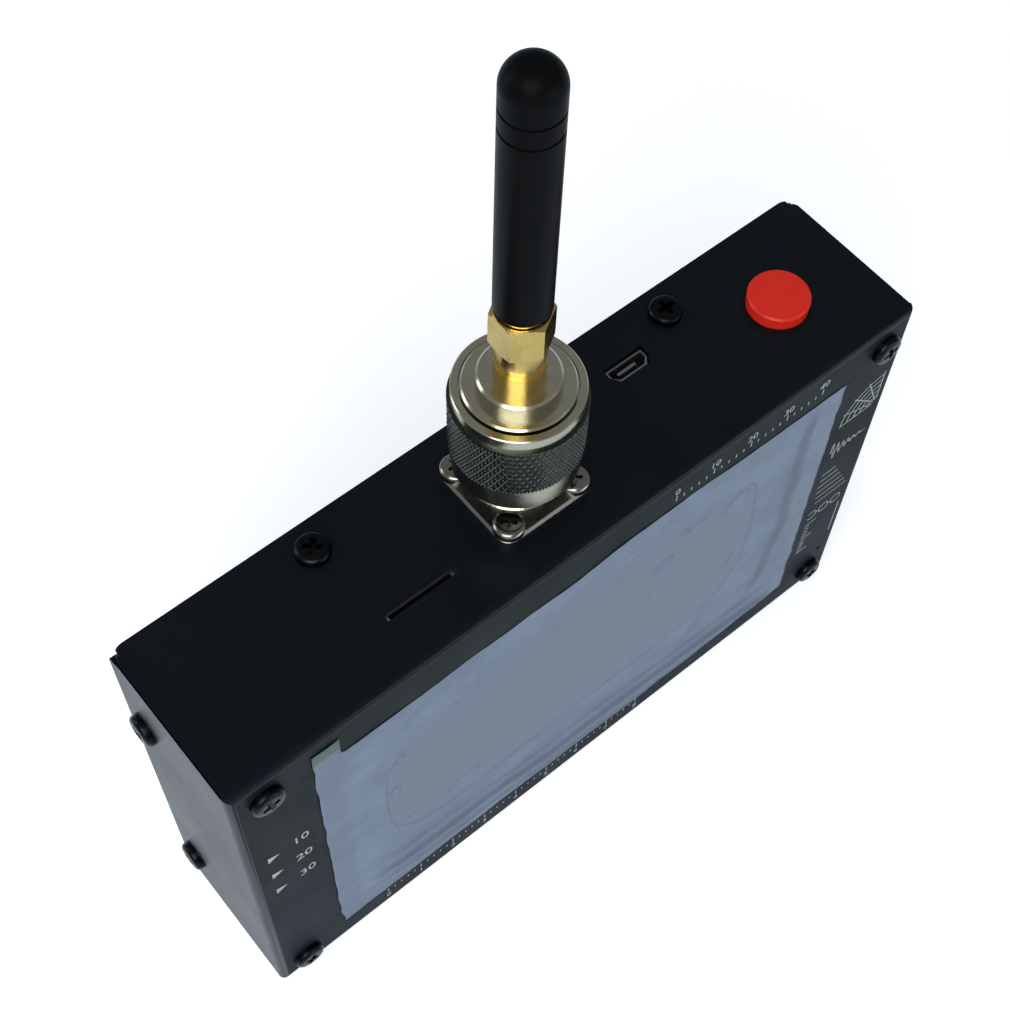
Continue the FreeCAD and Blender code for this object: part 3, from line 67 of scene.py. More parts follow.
MM = 0.001
PER_METRE = 1000.0
DOUBLE = 0.0005 * MM
SEAM = 0.0008 * MM
SPECK = 1e-7
FLAT_WEIGHT = 90
FRONT = -15.0
TOP = 88.5
AXIS = (-4.3, 0.4)
WHITE = (1.0, 1.0, 1.0)
LOG = logging.getLogger("analyzer")
Colour = tuple[float, float, float]
Point = tuple[float, float, float]
Place = tuple[float, float]


class Body(Enum):
    """The moving bodies of the model."""

    CASE = "case"
    BUTTON = "power_button"
    ADAPTER = "adapter"
    NUT = "coupling_nut"
    ANTENNA = "antenna"
    ANTENNA_NUT = "antenna_nut"


class Grain(Enum):
    """How the scratches of a metal or painted sheet run, as scales along X, Y and Z."""

    ALONG_X = (0.02, 1.0, 1.0)
    ROUND_Z = (1.0, 1.0, 14.0)
    NONE = (1.0, 1.0, 1.0)


class Ridges(Enum):
    """Whether ridges cross, the steps from ridge to ridge, and whether an even rim closes the top."""

    KNURL = (1, 4, 1)
    THREAD = (0, 2, 0)


def tone(red: float, green: float, blue: float) -> Colour:
    """Turns a colour as it is seen, from 0 to 255, into the scene's linear values.

    Args:
        red: Red, from 0 to 255.
        green: Green, from 0 to 255.
        blue: Blue, from 0 to 255.

    Returns:
        The linear colour.
    """
    def linear(value: float) -> float:
        """Undoes the display curve of one channel."""
        share = value / 255.0
        return share / 12.92 if share <= 0.04045 else ((share + 0.055) / 1.055) ** 2.4

    return linear(red), linear(green), linear(blue)


def lit(colour: Colour, factor: float) -> Colour:
    """A colour made lighter or darker."""
    return tuple(min(1.0, factor * c) for c in colour)


# Node trees

class Nodes:
    """A node tree that is built in short calls."""

    def __init__(self, tree: bpy.types.NodeTree) -> None:
        """Takes a tree over and empties it."""
        self.tree = tree
        tree.nodes.clear()

    def put(self, kind: str, inputs: dict[str, object] | None = None, **settings: object) -> bpy.types.Node:
        """Adds a node and feeds it.

        Args:
            kind: Blender's name of the node type.
            inputs: Values or sockets for its inputs by name.
            **settings: Properties to set on it first.

        Returns:
            The node.
        """
        node = self.tree.nodes.new(kind)
        for key, value in settings.items():
            setattr(node, key, value)
        for key, value in (inputs or {}).items():
            self.feed(value, next(s for s in node.inputs if s.name == key and s.enabled))
        return node

    def feed(self, value: object, socket: bpy.types.NodeSocket) -> None:
        """Links a socket, or sets a plain value, on an input.

        Args:
            value: The socket or plain value.
            socket: The input.
        """
        if isinstance(value, bpy.types.NodeSocket):
            self.tree.links.new(value, socket)
        elif isinstance(value, tuple) and socket.type == "RGBA":
            socket.default_value = (*value[:3], 1.0)
        else:
            socket.default_value = value

    def math(self, operation: str, *values: object) -> bpy.types.NodeSocket:
        """A math node.

        Args:
            operation: What it works out.
            *values: Sockets or numbers that it works on.

        Returns:
            The result.
        """
        node = self.put("ShaderNodeMath", operation=operation)
        for value, socket in zip(values, node.inputs):
            self.feed(value, socket)
        return node.outputs[0]

    def times(self, first: object, second: object) -> bpy.types.NodeSocket:
        """The product of two sockets or numbers."""
        return self.math("MULTIPLY", first, second)


class Paint(Nodes):
    """The nodes of one material, round a Principled shader."""

    MIX_INPUTS = (0, 6, 7)
    MIX_RESULT = 2

    def __init__(self, name: str) -> None:
        """Starts an empty material with a Principled shader.

        Args:
            name: Name of the material.
        """
        self.material = bpy.data.materials.new(name)
        self.material.use_nodes = True
        super().__init__(self.material.node_tree)
        self.shader = self.put("ShaderNodeBsdfPrincipled")
        self.put("ShaderNodeOutputMaterial", {"Surface": self.shader.outputs[0]})
        self.where = self.put("ShaderNodeTexCoord").outputs["Object"]

    def constant(self, **values: object) -> None:
        """Sets plain values on the shader's own sockets.

        Args:
            **values: The values by the sockets' names, with _ for each space.
        """
        for key, value in values.items():
            name = key.replace("_", " ")
            self.feed(value, next(s for s in self.shader.inputs if s.name.lower() == name))

    def cover(self, colour: object, rough: object) -> None:
        """Gives the shader its colour and its roughness."""
        self.feed(colour, self.shader.inputs["Base Color"])
        self.feed(rough, self.shader.inputs["Roughness"])

    def scaled(self, scale: Sequence[float]) -> bpy.types.NodeSocket:
        """Object coordinates, stretched by a scale along X, Y and Z."""
        return self.put("ShaderNodeMapping", {"Vector": self.where, "Scale": tuple(scale)},
                        vector_type="POINT").outputs["Vector"]

    def grain(self, per_mm: float, stretch: Sequence[float] = (1.0, 1.0, 1.0), detail: float = 3.0,
              rough: float = 0.55, twist: float = 0.0) -> bpy.types.NodeSocket:
        """A noise value.

        Args:
            per_mm: Features in a millimetre.
            stretch: Scale along X, Y and Z on top of it.
            detail: Octaves of noise.
            rough: Weight of the finer octaves.
            twist: Distortion.

        Returns:
            The noise value from 0 to 1.
        """
        return self.put("ShaderNodeTexNoise", {
            "Vector": self.scaled([per_mm * PER_METRE * s for s in stretch]), "Scale": 1.0,
            "Detail": detail, "Roughness": rough, "Distortion": twist}).outputs["Fac"]

    def cells(self, per_metre: float, **settings: object) -> bpy.types.NodeSocket:
        """The distance of a cell pattern with so many cells in a metre."""
        return self.put("ShaderNodeTexVoronoi", {"Vector": self.scaled((per_metre,) * 3), "Scale": 1.0},
                        **settings).outputs["Distance"]

    def ramp(self, value: object, *stops: tuple[float, Colour]) -> bpy.types.NodeSocket:
        """Maps a value to colours.

        Args:
            value: The socket that is looked up.
            *stops: Places from 0 to 1 and their colours.

        Returns:
            The colour socket.
        """
        node = self.put("ShaderNodeValToRGB", {"Fac": value})
        marks = node.color_ramp.elements
        while len(marks) < len(stops):
            marks.new(0.5)
        for mark, (place, colour) in zip(marks, stops):
            mark.position = place
            mark.color = (*colour, 1.0)
        return node.outputs["Color"]

    def span(self, value: object, low: float, high: float, to_low: float = 0.0,
             to_high: float = 1.0, soft: bool = False) -> bpy.types.NodeSocket:
        """Maps a value from one range to another and clamps it.

        Args:
            value: The socket that is mapped.
            low: Start of the range that is read.
            high: End of the range that is read.
            to_low: Result at the start.
            to_high: Result at the end.
            soft: Whether the ends are eased.

        Returns:
            The mapped value.
        """
        return self.put("ShaderNodeMapRange", {
            "Value": value, "From Min": low, "From Max": high, "To Min": to_low, "To Max": to_high},
            clamp=True, interpolation_type="SMOOTHSTEP" if soft else "LINEAR").outputs["Result"]

    def blend(self, share: object, first: object, second: object) -> bpy.types.NodeSocket:
        """Mixes two colours.

        Args:
            share: How much of the second colour shows.
            first: Colour or socket at 0.
            second: Colour or socket at 1.

        Returns:
            The mixed colour.
        """
        node = self.put("ShaderNodeMix", data_type="RGBA", clamp_factor=True)
        for value, place in zip((share, first, second), self.MIX_INPUTS):
            self.feed(value, node.inputs[place])
        return node.outputs[self.MIX_RESULT]

    def axis(self, name: str) -> bpy.types.NodeSocket:
        """One object coordinate, X, Y or Z, in metres."""
        return self.put("ShaderNodeSeparateXYZ", {"Vector": self.where}).outputs[name]

    def attribute(self, name: str) -> bpy.types.NodeSocket:
        """A named value that is kept on the mesh."""
        return self.put("ShaderNodeAttribute", attribute_name=name, attribute_type="GEOMETRY").outputs["Fac"]

    def bump(self, *layers: tuple[object, float]) -> None:
        """Adds relief to the shader's normal.

        Args:
            *layers: Height sockets, each with its depth in millimetres.
        """
        normal: dict[str, object] = {}
        for height, depth in layers:
            node = self.put("ShaderNodeBump", {"Strength": 1.0, "Distance": depth * MM,
                                               "Height": height, **normal})
            normal = {"Normal": node.outputs["Normal"]}
        self.feed(normal["Normal"], self.shader.inputs["Normal"])


@dataclass(frozen=True)
class Finish:
    """A surface finish that is built once and shared."""

    name: str

    def material(self) -> bpy.types.Material:
        """The material, built when it is first asked for, under a name that no CAD slot shares.

        Returns:
            The material.
        """
        title = f"{self.name}_finish"
        if title not in bpy.data.materials:
            self.build(Paint(title))
        return bpy.data.materials[title]

    def build(self, paint: Paint) -> None:
        """Builds the finish.

        Args:
            paint: The nodes it is built from.
        """
        raise NotImplementedError

    def dress(self, thing: bpy.types.Object) -> None:
        """Puts the finish on every face of an object.

        Args:
            thing: The object.
        """
        if not thing.material_slots:
            thing.data.materials.append(None)
        for holder in thing.material_slots:
            holder.material = self.material()


@dataclass(frozen=True)
class SheetPaint(Finish):
    """Hard black coat on brushed aluminium sheet."""

    deep: Colour = tone(6, 8, 12)
    worn: Colour = tone(19, 22, 27)
    roughness: float = 0.34
    sheen: float = 0.2
    tint: Colour = (0.56, 0.75, 1.0)
    relief: float = 0.004

    def build(self, paint: Paint) -> None:
        """Builds streaked black with fine brushing and faint handling marks.

        Args:
            paint: The nodes it is built from.
        """
        streaks = paint.grain(6.0, Grain.ALONG_X.value, 4.0, 0.7)
        cloud = paint.grain(0.05, detail=4.0, rough=0.6)
        specks = paint.grain(9.0, detail=2.0)
        between = tuple(0.55 * a + 0.45 * b for a, b in zip(self.deep, self.worn))
        base = paint.ramp(streaks, (0.32, self.deep), (0.62, between), (0.8, self.worn))
        paint.cover(paint.blend(paint.span(cloud, 0.35, 0.75, 0.0, 0.35), base, self.worn),
                    paint.math("ADD", paint.span(streaks, 0.3, 0.75, self.roughness - 0.05, self.roughness + 0.07),
                               paint.span(cloud, 0.3, 0.8, -0.03, 0.05)))
        paint.constant(specular_ior_level=self.sheen, specular_tint=self.tint)
        paint.bump((streaks, self.relief), (specks, 0.5 * self.relief))


@dataclass(frozen=True)
class PanelCoat(Finish):
    """Satin slate of the front panel, painted darker and greener at the top as painted shade and a painted green
    reflection, and lighter and bluer at the bottom as painted light.
    """

    # Painted shade with a painted green reflection at the top, painted light at the bottom.
    upper: Colour = tone(19, 28, 27)
    lower: Colour = tone(23, 30, 40)
    tint: Colour = (0.8, 0.92, 1.0)
    roughness: float = 0.46
    sheen: float = 0.05
    relief: float = 0.006
    low: float = 2.0
    high: float = 86.0

    def build(self, paint: Paint) -> None:
        """Builds the panel's colour, with painted shade at the top and painted light at the bottom, and fine
        brushing across it.

        Args:
            paint: The nodes it is built from.
        """
        # Painted shade and light by height: the lit bottom colour at 0, the shaded top colour at 1.
        rise = paint.span(paint.axis("Z"), self.low * MM, self.high * MM, 0.0, 1.0, True)
        tooth = paint.grain(2.6, (0.05, 1.0, 1.0), 4.0, 0.65)
        cloud = paint.grain(0.06, detail=3.0)
        paint.cover(paint.blend(paint.times(paint.span(tooth, 0.35, 0.75), 0.5),
                                paint.blend(rise, self.lower, self.upper), lit(self.upper, 0.62)),
                    paint.span(cloud, 0.3, 0.75, self.roughness - 0.05, self.roughness + 0.07))
        paint.constant(specular_ior_level=self.sheen, specular_tint=self.tint)
        paint.bump((tooth, self.relief))


@dataclass(frozen=True)
class FilmFinish(Finish):
    """Milky protective film with a part that clings to the glass."""

    loose: Colour = tone(111, 125, 146)
    clinging: Colour = tone(103, 116, 136)
    rim: Colour = tone(82, 92, 112)
    tab: Colour = tone(74, 98, 78)
    tab_low: float = 81.6
    sheen: float = 0.14

    def build(self, paint: Paint) -> None:
        """Builds both parts of the film, its pull strip, the tinted end of the tab and painted shade where the film
        stands off the glass.

        Args:
            paint: The nodes it is built from.
        """
        wet, strip, stand = (paint.attribute(name) for name in ("cling", "strip", "stand"))
        haze = paint.grain(0.09, (1.0, 1.0, 1.3), 4.0, 0.6, 0.6)
        fine = paint.grain(1.6, detail=2.0)
        haze_and_ridge_shade = paint.ramp(haze, (0.3, lit(self.loose, 0.86)), (0.5, self.loose), (0.72, lit(self.loose, 1.16)))
        haze_and_ridge_shade = paint.blend(paint.times(strip, 0.35), haze_and_ridge_shade, lit(self.loose, 0.8))
        # Painted shade: the loose film is darker where it stands off the glass, on its raised ridges.
        haze_and_ridge_shade = paint.blend(paint.span(stand, 0.16, 0.5, 0.0, 0.75, True), haze_and_ridge_shade, lit(self.loose, 0.62))
        inside = paint.span(wet, -0.12, 0.12, 0.0, 1.0, True)
        edge = paint.span(paint.math("ABSOLUTE", wet), 0.0, 0.35, 0.6, 0.0, True)
        calm = paint.blend(paint.span(haze, 0.3, 0.75, 0.0, 0.3), self.clinging, lit(self.clinging, 0.88))
        colour = paint.blend(edge, paint.blend(inside, haze_and_ridge_shade, calm), self.rim)
        end = paint.span(paint.axis("Z"), (self.tab_low - 0.5) * MM, (self.tab_low + 0.5) * MM, 0.0, 0.85, True)
        paint.cover(paint.blend(end, colour, self.tab), paint.span(inside, 0.0, 1.0, 0.42, 0.3))
        paint.constant(specular_ior_level=self.sheen)
        paint.bump((haze, 0.05), (fine, 0.003))


@dataclass(frozen=True)
class Plating(Finish):
    """Plated or bare metal with turning marks and a little tarnish."""

    colour: Colour
    tarnish: Colour
    roughness: float
    turning: float = 0.003
    pitch: float = 4.0
    grain_run: Grain = Grain.ROUND_Z
    stain: float = 0.35

    def build(self, paint: Paint) -> None:
        """Builds the metal.

        Args:
            paint: The nodes it is built from.
        """
        rings = paint.grain(self.pitch, self.grain_run.value, 3.0, 0.6)
        patches = paint.grain(0.35, detail=4.0, rough=0.65)
        specks = paint.grain(7.0, detail=2.0)
        base = paint.blend(paint.span(patches, 0.42, 0.8, 0.0, self.stain), self.colour, self.tarnish)
        paint.cover(paint.blend(paint.span(rings, 0.35, 0.75, 0.0, 0.25), base, lit(self.colour, 0.75)),
                    paint.math("ADD", paint.span(patches, 0.3, 0.8, self.roughness - 0.04, self.roughness + 0.1),
                               paint.span(specks, 0.4, 0.8, 0.0, 0.04)))
        paint.constant(metallic=1.0)
        paint.bump((rings, self.turning), (specks, 0.4 * self.turning))


@dataclass(frozen=True)
class Moulding(Finish):
    """Moulded plastic or rubber."""

    colour: Colour
    shade: Colour
    roughness: float
    texture: float
    per_mm: float = 3.0
    sheen: float = 0.5
    cloudiness: float = 0.5

    def build(self, paint: Paint) -> None:
        """Builds the plastic with a fine moulded texture and soft handling marks.

        Args:
            paint: The nodes it is built from.
        """
        pores = paint.grain(self.per_mm, detail=3.0, rough=0.6)
        cloud = paint.grain(0.12, detail=4.0, rough=0.6)
        base = paint.blend(paint.span(cloud, 0.35, 0.75, 0.0, self.cloudiness), self.colour, self.shade)
        paint.cover(paint.blend(paint.span(pores, 0.5, 0.8, 0.0, 0.4 * self.cloudiness), base,
                                lit(self.colour, 1.3)),
                    paint.span(cloud, 0.3, 0.75, self.roughness - 0.05, self.roughness + 0.08))
        paint.constant(specular_ior_level=self.sheen)
        paint.bump((pores, self.texture))


@dataclass(frozen=True)
class CircuitLaminate(Finish):
    """Green circuit board with tracks, pads and a solder mask."""

    mask: Colour = tone(24, 74, 48)
    track: Colour = tone(46, 108, 70)
    pads: Colour = tone(196, 196, 188)

    def build(self, paint: Paint) -> None:
        """Builds tracks from a cell pattern, with tinned pads at some of its corners.

        Args:
            paint: The nodes it is built from.
        """
        cells = paint.cells(330.0, feature="DISTANCE_TO_EDGE", distance="MANHATTAN")
        dots = paint.cells(420.0, feature="F1")
        weave = paint.grain(1.4, (1.0, 1.0, 1.0), 2.0)
        lines = paint.span(cells, 0.03, 0.06, 1.0, 0.0)
        tin = paint.span(dots, 0.1, 0.14, 1.0, 0.0)
        mask = paint.blend(paint.span(weave, 0.3, 0.7, 0.0, 0.4), self.mask, lit(self.mask, 0.7))
        paint.cover(paint.blend(tin, paint.blend(lines, mask, self.track), self.pads),
                    paint.span(tin, 0.0, 1.0, 0.3, 0.22))
        paint.bump((lines, 0.03), (tin, 0.04))


@dataclass(frozen=True)
class ScreenGlass(Finish):
    """Dark etched glass of the screen, with faint wiping marks."""

    colour: Colour = tone(24, 31, 32)
    smeared: Colour = tone(34, 42, 44)
    sheen: float = 0.12

    def build(self, paint: Paint) -> None:
        """Builds near-black glass with a satin face.

        Args:
            paint: The nodes it is built from.
        """
        smears = paint.grain(0.08, (1.0, 1.0, 2.5), 4.0, 0.6, 1.2)
        paint.cover(paint.blend(paint.span(smears, 0.35, 0.8, 0.0, 0.5), self.colour, self.smeared),
                    paint.span(smears, 0.3, 0.8, 0.38, 0.5))
        paint.constant(specular_ior_level=self.sheen)


@dataclass(frozen=True)
class PouchFoil(Finish):
    """Creased aluminium foil of a pouch cell."""

    colour: Colour = tone(176, 178, 180)
    folded: Colour = tone(120, 124, 130)

    def build(self, paint: Paint) -> None:
        """Builds crinkled foil.

        Args:
            paint: The nodes it is built from.
        """
        creases = paint.grain(0.35, detail=5.0, rough=0.7, twist=0.8)
        paint.cover(paint.blend(paint.span(creases, 0.35, 0.7, 0.0, 0.5), self.colour, self.folded),
                    paint.span(creases, 0.3, 0.7, 0.24, 0.42))
        paint.constant(metallic=0.9)
        paint.bump((creases, 0.12))


BLACK_SHEET = SheetPaint("black_sheet_coat")
PANEL = PanelCoat("slate_panel")
PRINT = Moulding("pale_print", tone(168, 178, 176), tone(138, 150, 150), 0.5, 0.002, 5.0, 0.4, 0.6)
FILM = FilmFinish("milky_film")
BLACK_SCREW = Plating("black_zinc_screw", tone(31, 34, 37), tone(12, 14, 17), 0.27, 0.003, 3.0, Grain.NONE, 0.6)
DARK_NICKEL = Plating("dark_nickel", tone(140, 140, 135), tone(80, 79, 74), 0.26, 0.002, 4.0, Grain.NONE, 0.55)
BRIGHT_NICKEL = Plating("bright_nickel", tone(184, 180, 161), tone(122, 118, 102), 0.17)
# The knurl's nickel is a darker, greener copy of the bright nickel: painted shade and a painted green reflection.
SHADED_KNURL_NICKEL = Plating("knurled_nickel", tone(78, 84, 78), tone(40, 41, 37), 0.22, 0.002, 5.0, Grain.NONE, 0.6)
FLANGE_SCREW = Plating("flange_screw", tone(140, 140, 132), tone(84, 82, 74), 0.15, 0.002, 4.0, Grain.NONE, 0.5)
GOLD = Plating("gold_plate", tone(232, 202, 118), tone(176, 126, 50), 0.16, stain=0.3)
NUT_GOLD = Plating("nut_gold", tone(202, 176, 104), tone(150, 112, 46), 0.17, grain_run=Grain.NONE, stain=0.4)
RUBBER = Moulding("whip_rubber", tone(10, 12, 14), tone(8, 10, 12), 0.36, 0.006, 2.5, 0.03, 0.6)
RED_CAP = Moulding("red_cap", tone(218, 45, 31), tone(192, 34, 26), 0.34, 0.003, 3.0, 0.22, 0.4)
ZINC = Plating("zinc_plate", tone(150, 153, 156), tone(100, 102, 102), 0.3, grain_run=Grain.NONE)

SLOT_FINISH: dict[str, Finish] = {
    "black_sheet": BLACK_SHEET,
    "black_screw": BLACK_SCREW,
    "zinc": ZINC,
    "standoff": Plating("brass_standoff", tone(206, 176, 104), tone(150, 112, 60), 0.28),
    "film": FILM,
    "screen_glass": ScreenGlass("screen_glass"),
    "foam": Moulding("foam_strip", tone(38, 38, 40), tone(22, 22, 24), 0.9, 0.12, 1.4, 0.2, 0.8),
    "display": Moulding("display_frame", tone(92, 96, 102), tone(64, 68, 74), 0.34, 0.004, 2.0, 0.5, 0.6),
    "board": CircuitLaminate("board_laminate"),
    "black_plastic": Moulding("black_plastic", tone(24, 24, 26), tone(15, 15, 17), 0.5, 0.01),
    "red_plastic": RED_CAP,
    "switch_plastic": Moulding("switch_plastic", tone(228, 224, 210), tone(206, 200, 184), 0.5, 0.006),
    "cell": PouchFoil("pouch_foil"),
    "dark_nickel": DARK_NICKEL,
    "white_plastic": Moulding("white_insulator", tone(232, 230, 222), tone(214, 210, 198), 0.45, 0.003),
    "gold": GOLD,
    "bright_nickel": BRIGHT_NICKEL,
    "sheath_rubber": RUBBER,
    "coil_steel": Plating("coil_steel", tone(150, 150, 152), tone(96, 94, 92), 0.3, 0.03, 0.8),
}


# Mesh helpers

def plain_object(name: str, data: bpy.types.ID) -> bpy.types.Object:
    """Puts a mesh, curve, lamp or camera in the scene at the origin.

    Args:
        name: Name of the object.
        data: What the object shows.

    Returns:
        The object.
    """
    thing = bpy.data.objects.new(name, data)
    bpy.context.scene.collection.objects.link(thing)
    return thing


def settled(thing: bpy.types.Object, name: str) -> bpy.types.Object:
    """Turns an object with its modifiers into a plain mesh under a new name.

    Args:
        thing: The object with modifiers, which is removed.
        name: Name of the plain object.

    Returns:
        The plain object.
    """
    bpy.context.view_layer.update()
    depsgraph = bpy.context.evaluated_depsgraph_get()
    mesh = bpy.data.meshes.new_from_object(thing.evaluated_get(depsgraph), preserve_all_data_layers=True,
                                           depsgraph=depsgraph)
    old = thing.data
    bpy.data.objects.remove(thing)
    if old.users == 0 and isinstance(old, bpy.types.Mesh):
        bpy.data.meshes.remove(old)
    mesh.name = name
    return plain_object(name, mesh)


def opened(meshes: Iterable[bpy.types.Mesh]) -> bmesh.types.BMesh:
    """A working mesh that holds some meshes.

    Args:
        meshes: The meshes, already in place.

    Returns:
        The working mesh.
    """
    made = bmesh.new()
    for mesh in meshes:
        made.from_mesh(mesh)
    return made


def kept(made: bmesh.types.BMesh, mesh: bpy.types.Mesh, outward: bool = False) -> bpy.types.Mesh:
    """Writes a working mesh into a mesh and frees it.

    Args:
        made: The working mesh.
        mesh: The mesh that takes it.
        outward: Whether its faces are turned outwards first.

    Returns:
        The mesh.
    """
    if outward:
        bmesh.ops.recalc_face_normals(made, faces=made.faces)
    made.to_mesh(mesh)
    made.free()
    return mesh


def smooth(mesh: bpy.types.Mesh, angle: float) -> None:
    """Merges doubles and shades the mesh smooth, with creases at the sharper edges.

    Args:
        mesh: The mesh to change.
        angle: Edges turning by more than this many degrees stay creased.
    """
    made = opened([mesh])
    bmesh.ops.remove_doubles(made, verts=made.verts, dist=DOUBLE)
    bmesh.ops.dissolve_degenerate(made, edges=made.edges, dist=SPECK)
    for face in made.faces:
        face.smooth = True
    for edge in made.edges:
        if len(edge.link_faces) == 2:
            edge.smooth = edge.calc_face_angle(math.pi) < math.radians(angle)
    kept(made, mesh)


def evened(thing: bpy.types.Object) -> bpy.types.Object:
    """Gives flat faces the say over the normals of the small ones beside them.

    Args:
        thing: A smooth-shaded mesh object.

    Returns:
        The plain object that takes its place.
    """
    name = thing.name
    thing.name = name + "_raw"
    weigh = thing.modifiers.new("even", "WEIGHTED_NORMAL")
    weigh.keep_sharp = True
    weigh.weight = FLAT_WEIGHT
    return settled(thing, name)


def refined(node: str, name: str, angle: float = 30.0,
            reshape: Callable[[bmesh.types.BMesh], None] | None = None) -> bpy.types.Object:
    """A smooth-shaded copy of a CAD node, which it stands for.

    Args:
        node: The CAD node that is copied.
        name: Name of the copy.
        angle: Edges turning by more than this many degrees stay creased.
        reshape: Changes to the copy's points before it is shaded.

    Returns:
        The copy, without a material slot.
    """
    mesh = frame["nodes"][node].data.copy()
    mesh.name = name
    mesh.materials.clear()
    made = opened([mesh])
    bmesh.ops.remove_doubles(made, verts=made.verts, dist=SEAM)
    if reshape is not None:
        reshape(made)
    smooth(kept(made, mesh), angle)
    return evened(plain_object(name, mesh))


def stand_in(thing: bpy.types.Object, body: Body, slot: str, finish: Finish | None, *nodes: str) -> None:
    """Lets a piece ride on its body, take its finish and stand for CAD nodes.

    Args:
        thing: The finished piece.
        body: The body it moves with.
        slot: The record's material slot; not used.
        finish: The finish of all its faces, or None where it has its own.
        *nodes: The CAD nodes it replaces.
    """
    if finish is not None:
        finish.dress(thing)
    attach(thing, body.value)
    if nodes:
        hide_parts(*nodes)


def prism(outline: Sequence[Place], front: float, back: float) -> bpy.types.Mesh:
    """A thin plate parallel to the front panel.

    Args:
        outline: Points (x, z) in millimetres, anticlockwise seen from the front.
        front: The y of its front face.
        back: The y of its back face.

    Returns:
        The closed mesh.
    """
    count = len(outline)
    points = [(x * MM, y * MM, z * MM) for y in (front, back) for x, z in outline]
    faces = [tuple(range(count)), tuple(reversed(range(count, 2 * count)))]
    faces += [(k, k + count, (k + 1) % count + count, (k + 1) % count) for k in range(count)]
    mesh = bpy.data.meshes.new("plate")
    mesh.from_pydata(points, [], faces)
    return kept(opened([mesh]), mesh, True)


def hoop(name: str, *rings: tuple[Sequence[Place], float]) -> bpy.types.Mesh:
    """A closed skin through rings of points, from each ring to the next and back to the first.

    Args:
        name: Name of the mesh.
        *rings: Points (x, z) of a ring in millimetres, with its y.

    Returns:
        The closed mesh.
    """
    made = bmesh.new()
    lines = [[made.verts.new((x * MM, y * MM, z * MM)) for x, z in ring] for ring, y in rings]
    for line, following in zip(lines, lines[1:] + lines[:1]):
        for k, vert in enumerate(line):
            after = (k + 1) % len(line)
            made.faces.new((vert, line[after], following[after], following[k]))
    return kept(made, bpy.data.meshes.new(name), True)


def stroke(points: Sequence[Place], width: float, front: float, back: float,
           closed: bool = False) -> bpy.types.Mesh:
    """A printed line of even width along points on the front panel.

    Args:
        points: Points (x, z) in millimetres.
        width: Width of the line.
        front: The y of its front face.
        back: The y of its back face.
        closed: Whether the line returns to its start.

    Returns:
        The closed mesh.
    """
    left: list[Place] = []
    right: list[Place] = []
    count = len(points)
    for k, (x, z) in enumerate(points):
        before = points[(k - 1) % count] if closed or k else points[0]
        after = points[(k + 1) % count] if closed or k < count - 1 else points[-1]
        run = Vector((after[0] - before[0], after[1] - before[1])).normalized()
        left.append((x - run.y * width / 2, z + run.x * width / 2))
        right.append((x + run.y * width / 2, z - run.x * width / 2))
    if not closed:
        return prism(right + left[::-1], front, back)
    return hoop("ring", (left, front), (right, front), (right, back), (left, back))


def figure(text: str, size: float, x: float, z: float, front: float, back: float) -> bpy.types.Mesh:
    """Plain printed figures on the front panel.

    Args:
        text: The figures.
        size: Their size in millimetres.
        x: Middle of the figures.
        z: Their foot.
        front: The y of the printed face.
        back: The y of its back.

    Returns:
        The closed mesh, in place.
    """
    curve = bpy.data.curves.new("figure", "FONT")
    curve.body = text
    curve.size = size * MM
    curve.align_x = "CENTER"
    curve.resolution_u = 3
    curve.extrude = (back - front) / 2 * MM
    holder = plain_object("figure", curve)
    bpy.context.view_layer.update()
    depsgraph = bpy.context.evaluated_depsgraph_get()
    mesh = bpy.data.meshes.new_from_object(holder.evaluated_get(depsgraph))
    bpy.data.objects.remove(holder)
    mesh.transform(Matrix.Translation((x * MM, (front + back) / 2 * MM, z * MM))
                   @ Matrix.Rotation(math.radians(90.0), 4, "X"))
    return mesh


def eased(value: float, low: float, high: float) -> float:
    """How far a value has come from low to high, from 0 to 1."""
    return min(1.0, max(0.0, (value - low) / (high - low)))


def bell(value: float, width: float) -> float:
    """A hump of height 1 round 0."""
    return math.exp(-(value / width) ** 2)


def falling(value: float) -> float:
    """A soft step from 1 down to 0 at 0."""
    return 1.0 / (1.0 + math.exp(min(40.0, max(-40.0, value))))


def ripple(x: float, y: float = 0.0, z: float = 0.0) -> float:
    """Smooth noise about 0 at a point."""
    return noise.noise(Vector((x, y, z)))


# Geometry node trees

